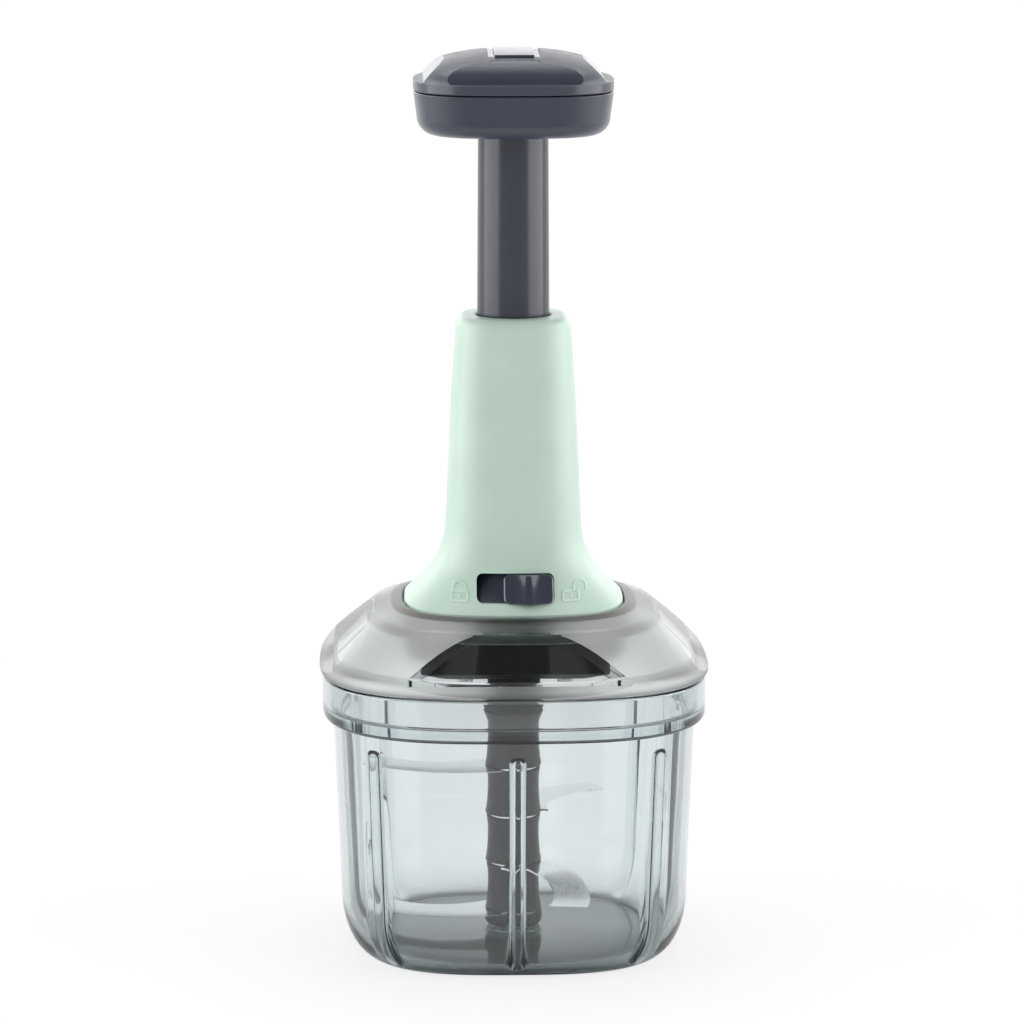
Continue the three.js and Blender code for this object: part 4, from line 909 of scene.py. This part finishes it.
def make_cover_screws():
    for index, place in enumerate(((1, 1), (-1, 1), (-1, -1), (1, -1))):
        at = (place[0] * lid_post.offset, place[1] * lid_post.offset)
        head_top = screw.head_bottom + screw.head_height
        piece = turned_solid(f"cover_screw_{index + 1}_fine", [
            (screw.head, screw.head_bottom, screw.head_height / 2), (screw.head, head_top, 0),
            (screw.shank, head_top, 0), (screw.shank, head_top + screw.length, screw.tip),
        ], TURN_STEPS // 2)
        for wide, deep in ((screw.slot_reach, screw.slot), (screw.slot, screw.slot_reach)):
            cut(piece, block((-wide, wide), (-deep, deep),
                             (screw.head_bottom - OVERRUN, screw.head_bottom + screw.slot_depth)))
        piece.data.transform(Matrix.Translation((*at, 0)))
        finish_surface(piece, "lid", "steel_parts", f"cover_screw_{index + 1}")


# Tower

def flare_points():
    start = Vector((tower.base_half, tower.flare_bottom))
    end = Vector((tower.flare_top_half, tower.flare_top))
    near, far = (Vector((between(start.x, end.x, inward), between(start.y, end.y, upward)))
                 for inward, upward in flare_shares)
    points = []
    for step in range(tower.flare_steps + 1):
        t = step / tower.flare_steps
        s = 1 - t
        points.append(start * s ** 3 + near * 3 * s * s * t + far * 3 * s * t * t + end * t ** 3)
    return points


def tower_half(height):
    """Half width of the tower's outside at a height on the flare."""
    points = [Vector((tower.base_half, tower.bottom)), *flare_points()]
    for low, high in zip(points, points[1:]):
        if height <= high.y:
            share = (height - low.y) / (high.y - low.y)
            return between(low.x, high.x, share)
    return tower.flare_top_half


def front_at(x, height, inset=0.0):
    """y of the tower's front face, or of a surface set in from it."""
    half = tower_half(height) - inset
    return -max(0.0, half ** SQUARENESS - abs(x) ** SQUARENESS) ** (1 / SQUARENESS)


def rounded_box(half_width, low, high, corner, steps=6):
    """Outline of a box with rounded corners, in x and z."""
    outline = []
    for index, (side, end) in enumerate(((1, 1), (-1, 1), (-1, -1), (1, -1))):
        centre = (side * (half_width - corner), (high - corner) if end > 0 else (low + corner))
        for step in range(steps + 1):
            angle = math.pi / 2 * (index + step / steps)
            outline.append((centre[0] + corner * math.cos(angle), centre[1] + corner * math.sin(angle)))
    return outline


def make_tower():
    sides = [(point.x, point.y) for point in flare_points()]
    sides += [(tower.mid_half, tower.mid), (tower.shoulder_half, tower.shoulder)]
    line = [(tower.base_half, tower.bottom, tower.edge)]
    line += [(half, height, 0) for half, height in sides]
    line += [
        (tower.top_half + tower.top_round * top_round_share, tower.top, tower.top_round),
        (tower.bore, tower.top, tower.base_edge, ROUND),
        (tower.bore, tower.sleeve_bottom, 0, ROUND),
        (tower.sleeve, tower.sleeve_bottom, 0, ROUND),
        (tower.sleeve, tower.top - tower.wall, 0, ROUND),
        (tower.top_half - tower.wall, tower.top - tower.wall, 0),
    ]
    line += [(half - tower.wall, height, 0) for half, height in reversed(sides)]
    line.append((tower.base_half - tower.wall, tower.bottom, tower.edge))
    piece = lofted("tower_fine", line, closed=True)
    outline = rounded_box(slot.half_width, slot.bottom, slot.top, slot.corner)
    depths = (-tower.base_half - OVERRUN, -tower.flare_top_half / 2)
    rings = [[Vector((x, y, z)) for x, z in outline] for y in depths]
    cut(piece, skin("cutter", rings))
    for place in four_places(tower_boss.x, tower_boss.y):
        weld(piece, cylinder(tower_boss.radius, tower.bottom, tower_boss.top, place))
        cut(piece, cylinder(pilot, tower.bottom - OVERRUN, tower_boss.pilot_top, place))
    finish_surface(piece, "lid", "tower_mint", "tower_housing", bevel=slot.edge)


# Lock slider and the two padlock signs

def plate_front(x, height, inset):
    shift = plate.travel / 2
    return min(plate.back, max(front_at(x - shift, height, inset), front_at(x + shift, height, inset)))


def plate_reach(height):
    """How far the plate reaches to each side before it would turn into the tower's side wall."""
    half = tower_half(height) - plate.gap
    end = (half ** SQUARENESS - (-plate.back + plate.thickness) ** SQUARENESS) ** (1 / SQUARENESS)
    return min(plate.reach, end - plate.travel / 2)


def make_slider():
    centre = plate.travel / 2
    rows = range(plate.rows + 1)
    rings = []
    for step in range(plate.steps + 1):
        ring = []
        for inset, heights in ((plate.gap, rows), (plate.gap + plate.thickness, reversed(rows))):
            for row in heights:
                z = between(plate.bottom, plate.top, row / plate.rows)
                x = plate_reach(z) * (2 * step / plate.steps - 1)
                ring.append(Vector((x + centre, plate_front(x, z, inset), z)))
        rings.append(ring)
    piece = skin("lock_slider_fine", rings)
    weld(piece, make_knob(centre))
    finish_surface(piece, "lock", "knob_dark", "lock_slider", bevel=plate.edge)


def make_knob(centre):
    """The finger knob: hollow flanks rising to one narrow fin."""
    outline_rows = []
    for row in range(knob.rows + 1):
        z = between(knob.bottom, knob.top, row / knob.rows)
        rise = min(z - knob.bottom, knob.top - z, knob.corner)
        inset = knob.corner - math.sqrt(max(0.0, knob.corner ** 2 - (knob.corner - rise) ** 2))
        half = knob.half_width - inset
        wall = tower_half(z)
        ring = []
        for step in range(knob.steps + 1):
            x = -half + 2 * half * step / knob.steps
            off = max(0.0, abs(x) - knob.fin_half)
            fin = math.exp(-((off / knob.flank) ** knob.flank_power))
            brim = 1 - min(1.0, (half - abs(x)) / knob.edge)
            proud = between(knob.proud, knob.fin, fin) - knob.edge * brim ** 2
            ring.append(Vector((x + centre, -wall - proud, z)))
        back = -wall + plate.gap + plate.thickness / 2
        ring += [Vector((centre + half, back, z)), Vector((centre - half, back, z))]
        outline_rows.append(ring)
    return skin("cutter", outline_rows)


def stroke_line(points, closed=False):
    """A raised stroke of even width along points in x and z, on the tower's front."""
    count = len(points)
    flank = [(1, -mark.sunk), (1, mark.proud * mark_shares.shoulder), (mark_shares.crown, mark.proud)]
    section = flank + [(-edge, proud) for edge, proud in reversed(flank)]
    rings = []
    for index, (x, z) in enumerate(points):
        before = Vector(points[index - 1] if closed or index else points[index])
        after = Vector(points[(index + 1) % count] if closed or index + 1 < count else points[index])
        along = (after - before).normalized()
        side = Vector((-along.y, along.x)) * mark.width / 2
        ring = []
        for edge, proud in section:
            place = Vector((x, z)) + side * edge
            ring.append(Vector((place.x, front_at(place.x, place.y) - proud, place.y)))
        rings.append(ring)
    return skin("stroke", rings, closed)


def arc(centre, radius, start, end, steps=14):
    points = []
    for step in range(steps + 1):
        angle = math.radians(between(start, end, step / steps))
        points.append((centre[0] + radius * math.cos(angle), centre[1] + radius * math.sin(angle)))
    return points


def make_signs():
    for name, x, open_shift in (("sign_locked", padlock.left, 0.0),
                                ("sign_unlocked", padlock.right, padlock.open_shift)):
        bow_height = padlock.top + padlock.rise
        legs = [(-padlock.shackle, padlock.top), (-padlock.shackle, bow_height)]
        bow = arc((0, bow_height), padlock.shackle, 180, 0)
        right = [(padlock.shackle, bow_height - padlock.hook if open_shift else padlock.top)]
        box = rounded_box(padlock.half_width, padlock.bottom, padlock.top, padlock.edge,
                          padlock.corner_steps)
        keyhole = [(x, padlock.bottom + padlock.rise), (x, padlock.top - padlock.rise)]
        pieces = [
            stroke_line([(px + x, pz) for px, pz in box], True),
            stroke_line([(px + x + open_shift, pz) for px, pz in legs + bow[1:] + right]),
            stroke_line(keyhole),
        ]
        weld(*pieces)
        pieces[0].name = name
        finish_surface(pieces[0], "lid", "tower_mint")


# Plunger and handle

def make_tube():
    piece = turned_solid("plunger_tube_fine", [
        (tube.bore, tube.flange_bottom, 0), (tube.bore, tube.bottom, 0),
        (tube.collar, tube.bottom, tube.edge), (tube.collar, tube.collar_top, tube.edge),
        (tube.foot, tube.collar_top, tube.edge), (tube.top_radius, tube.flange_bottom, tube.edge),
        (tube.flange, tube.flange_bottom, tube.edge), (tube.flange, tube.top, tube.edge),
    ])
    drill(piece, cover.screw_hole, tube.flange_bottom - OVERRUN, tube.top + OVERRUN, handle_screw.places)
    heights = (tube.bottom + SEAT, tube.collar_top - SEAT)
    inner = tube.bore + SEAT * 3
    key_sides = (-tube.key_half, tube.key_half)
    for side in (-1, 1):
        weld(piece, block(sorted((side * inner, side * tube.key_reach)), key_sides, heights))
    weld(piece, block((-tube.lug_half, tube.lug_half), (-tube.key_reach, -inner - SEAT), heights))
    finish_surface(piece, "plunger", "tube_navy", "plunger_tube")


def make_spring():
    rings = []
    height = spring.top - spring.bottom
    for step in range(spring.turns * spring.steps + 1):
        share = step / (spring.turns * spring.steps)
        angle = 2 * math.pi * spring.turns * share
        outward = Vector((math.cos(angle), math.sin(angle), 0))
        centre = outward * spring.radius + Vector((0, 0, spring.bottom + height * share))
        ring = []
        for side in range(spring.sides):
            turn = 2 * math.pi * side / spring.sides
            ring.append(centre + outward * spring.wire * math.cos(turn)
                        + Vector((0, 0, spring.wire * math.sin(turn))))
        rings.append(ring)
    piece = skin("return_spring_fine", rings)
    finish_surface(piece, "lid", "steel_parts", "return_spring")
    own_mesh(piece)


def dome_height(half):
    """Height of the handle's domed top where its plan has this half width."""
    share = min(1.0, half / handle.half)
    return between(handle.dome_foot, handle.peak, math.sqrt(1 - share ** 2))


def dome_line(half, foot, peak, steps):
    """A quarter ellipse from its foot up to the axis."""
    line = []
    for step in range(1, steps + 1):
        angle = math.pi / 2 * step / steps
        line.append((max(AXIS, half * math.cos(angle)), between(foot, peak, math.sin(angle)), 0))
    return line


def make_pad():
    """The thumb pad: a strip across the handle's top that is less domed than the handle."""
    columns = pad.steps // 2
    vertices = []
    faces = []
    for on_top in (False, True):
        for row in range(pad.steps + 1):
            y = pad.half_length * (2 * row / pad.steps - 1)
            for column in range(columns + 1):
                x = pad.half_width * (2 * column / columns - 1)
                half = (abs(x) ** SQUARENESS + abs(y) ** SQUARENESS) ** (1 / SQUARENESS)
                top = handle.peak - (handle.peak - dome_height(half)) * pad_crown_share
                vertices.append((x, y, top if on_top else pad.floor - SEAT))
    sheet = (pad.steps + 1) * (columns + 1)
    for start in (0, sheet):
        for row in range(pad.steps):
            for column in range(columns):
                corner = start + row * (columns + 1) + column
                faces.append((corner, corner + 1, corner + columns + 2, corner + columns + 1))
    border = list(range(columns))
    border += [row * (columns + 1) + columns for row in range(pad.steps)]
    border += [pad.steps * (columns + 1) + column for column in range(columns, 0, -1)]
    border += [row * (columns + 1) for row in range(pad.steps, 0, -1)]
    for here, there in zip(border, border[1:] + border[:1]):
        faces.append((here, there, there + sheet, here + sheet))
    piece = make_piece("handle_pad_fine", vertices, faces)
    finish_surface(piece, "plunger", "pad_navy", "handle_top_pad", slot_name="handle_navy", bevel=pad.edge)


def make_handle():
    bottom = quarter((handle.bottom_half, handle.bottom), (handle.round_half, handle.round_top),
                     handle.round_steps)
    lower = [
        (handle.bore, handle.bottom, 0, ROUND),
        *[(half, height, 0) for half, height, _ in bottom],
        (handle.half, handle.seam, handle.seam_edge),
        (handle.half - handle.wall, handle.seam, handle.seam_edge),
        (handle.round_half - handle.wall, handle.round_top, 0),
        (handle.bottom_half - handle.wall / 2, handle.floor, 0),
        (handle.socket, handle.floor, 0, ROUND),
        (handle.socket, handle.socket_top, 0, ROUND),
        (handle.bore, handle.socket_top, 0, ROUND),
    ]
    piece = lofted("handle_lower_fine", lower, closed=True)
    drill(piece, pilot, tube.top - handle_screw.depth, handle.socket_top + OVERRUN, handle_screw.places)
    finish_surface(piece, "plunger", "handle_navy", "handle_lower_shell")
    inner = handle.half - handle.wall
    ceiling = handle.peak - handle.wall
    upper = [
        *reversed(dome_line(handle.dome_inner, handle.dome_foot, ceiling, handle.dome_steps)),
        (handle.dome_inner, handle.dome_foot, 0),
        (inner, handle.cover_bottom, handle.seam_edge),
        (handle.half, handle.cover_bottom, handle.seam_edge),
        (handle.half, handle.dome_foot, 0),
        *dome_line(handle.half, handle.dome_foot, handle.peak, handle.dome_steps),
    ]
    piece = lofted("handle_cover_fine", upper)
    cut(piece, *facet_tool(handle_facet, handle.half))
    channel = pad.half_width + pad.groove
    cut(piece, block((-channel, channel), (-handle.half, handle.half), (pad.floor, handle.peak + OVERRUN)))
    mark_faces(piece, FROSTED, on_satin_dome)
    finish_surface(piece, "plunger", "handle_navy", "handle_top_cover", bevel=handle.edge)


def make_hub():
    piece = turned_solid("output_hub_fine", [
        (hub.socket, hub.socket_top, 0), (hub.socket, hub.bottom, bowl.lip_edge),
        (hub.lip, hub.bottom, hub.edge), (hub.lip, hub.lip_top, hub.edge / 2), (hub.cup, hub.lip_top, 0),
        (hub.cup, hub.cup_top, bowl.lip_edge), (hub.journal, hub.cup_top, 0),
        (hub.journal, hub.flange_bottom, 0), (hub.flange, hub.flange_bottom, 0),
        (hub.flange, hub.flange_top, 0),
    ])
    finish_surface(piece, "output_hub", "hub_black", "output_hub", slot_name="shaft_grey")


def dress_frame_nodes():
    """The CAD nodes that stay get the same finishes by their material slots."""
    screws = [f"tower_screw_{index + 1}" for index in range(4)] + ["handle_screw_1", "handle_screw_2"]
    plain = {
        "steel_parts": ["helix_rod", "blade_core_rod", *screws],
        "nylon_white": ["pivot_bush", "upper_bush", "thrust_washer", "drive_nut", "clutch_driver",
                        "spring_cap"],
    }
    for finish, names in plain.items():
        for name in names:
            for material_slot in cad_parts[name].material_slots:
                material_slot.material = finishes[finish]


# Stage, light and camera

def make_floor():
    """A pale floor with a glow of its own, so that it is seen, reflected and refracted as white far away."""
    mesh = bpy.data.meshes.new("floor")
    reach = stage.floor_reach
    sides = ((-reach, -reach), (reach, -reach), (reach, reach), (-reach, reach))
    mesh.from_pydata([(x, y, -stage.floor_drop) for x, y in sides], [], [(0, 1, 2, 3)])
    floor = bpy.data.objects.new("floor", mesh)
    bpy.context.scene.collection.objects.link(floor)
    material = bpy.data.materials.new("pale_floor")
    nodes = Nodes(material)
    noise = nodes.node("ShaderNodeTexNoise")
    noise.inputs["Scale"].default_value = stage.noise
    diffuse = nodes.node("ShaderNodeBsdfDiffuse")
    nodes.link(nodes.fade(noise.outputs["Fac"], 0, 1, *stage.shades), diffuse.inputs["Color"])
    place = nodes.node("ShaderNodeNewGeometry").outputs["Position"]
    distance = nodes.node("ShaderNodeVectorMath", operation="LENGTH")
    nodes.link(place, distance.inputs[0])
    away = distance.outputs["Value"]
    seen = nodes.arithmetic("MULTIPLY", nodes.unscattered("Is Camera Ray"),
                            nodes.fade(away, *stage.seen_fade, *seen_glow_shares))
    in_gloss = nodes.unscattered("Is Glossy Ray")
    in_glass = nodes.arithmetic("MAXIMUM", in_gloss, nodes.unscattered("Is Transmission Ray"))
    through = nodes.arithmetic("MULTIPLY", in_glass,
                               nodes.fade(away, *stage.through_fade, *through_glow_shares))
    level = nodes.arithmetic("MAXIMUM", nodes.fade(nodes.split(place)["Y"], *stage.front_fade, 0, 1),
                             nodes.fade(away, *stage.far_fade, *gloss_shares))
    dimmed = nodes.arithmetic("MULTIPLY", in_gloss, nodes.arithmetic("SUBTRACT", 1.0, level))
    glow = nodes.node("ShaderNodeEmission")
    nodes.link(nodes.arithmetic("SUBTRACT", 1.0, dimmed), glow.inputs["Strength"])
    shown = nodes.mix_shaders(nodes.arithmetic("ADD", seen, through), diffuse.outputs["BSDF"],
                              glow.outputs["Emission"])
    nodes.show("ShaderNodeOutputMaterial", shown)
    mesh.materials.append(material)


def make_world():
    """A room that is white all round low down, brightest behind the part, and dim overhead."""
    world = bpy.data.worlds.new("studio")
    bpy.context.scene.world = world
    nodes = Nodes(world)
    direction = nodes.split(nodes.node("ShaderNodeTexCoord").outputs["Generated"])
    low_down = nodes.fade(direction["Z"], *room.low_fade, 1, 0)
    behind = nodes.fade(direction["Y"], *room.back_fade, room.front, room.back)
    gloss = nodes.arithmetic("MULTIPLY_ADD", low_down, behind, room.dim)
    through = nodes.fade(direction["Z"], *room.overhead_fade, 1, room.overhead)
    shown = None
    for ray, level in ((None, room.soft), ("Is Glossy Ray", gloss), ("Is Transmission Ray", through),
                       ("Is Camera Ray", 1.0)):
        background = nodes.node("ShaderNodeBackground")
        nodes.feed(background.inputs, Color=clear, Strength=level)
        shader = background.outputs["Background"]
        shown = nodes.mix_shaders(nodes.unscattered(ray), shown, shader) if ray else shader
    nodes.show("ShaderNodeOutputWorld", shown)


def make_lamp(name, place, size, power):
    light = bpy.data.lights.new(name, "AREA")
    light.shape = "RECTANGLE"
    light.size, light.size_y = size
    light.energy = power
    lamp = bpy.data.objects.new(name, light)
    bpy.context.scene.collection.objects.link(lamp)
    lamp.location = place
    lamp.rotation_euler = (lamp_aim - Vector(place)).to_track_quat("-Z", "Y").to_euler()
    lamp.visible_transmission = False


def make_camera():
    data = bpy.data.cameras.new("camera")
    data.lens = camera_lens
    data.sensor_width = camera_sensor
    camera = bpy.data.objects.new("camera", data)
    bpy.context.scene.collection.objects.link(camera)
    camera.location = camera_at
    camera.rotation_euler = (camera_aim - camera_at).to_track_quat("-Z", "Y").to_euler()
    bpy.context.scene.camera = camera


make_camera()
make_floor()
make_world()
for name, (place, size, power) in lamps.items():
    make_lamp(name, place, size, power)
bpy.context.scene.view_settings.view_transform = "Standard"

make_bowl()
make_pin()
make_stack()
for place in range(len(blade_degrees)):
    make_blade(place)
make_lid()
make_cover()
make_cover_screws()
make_hub()
make_tower()
make_slider()
make_signs()
make_tube()
make_spring()
make_handle()
make_pad()
dress_frame_nodes()
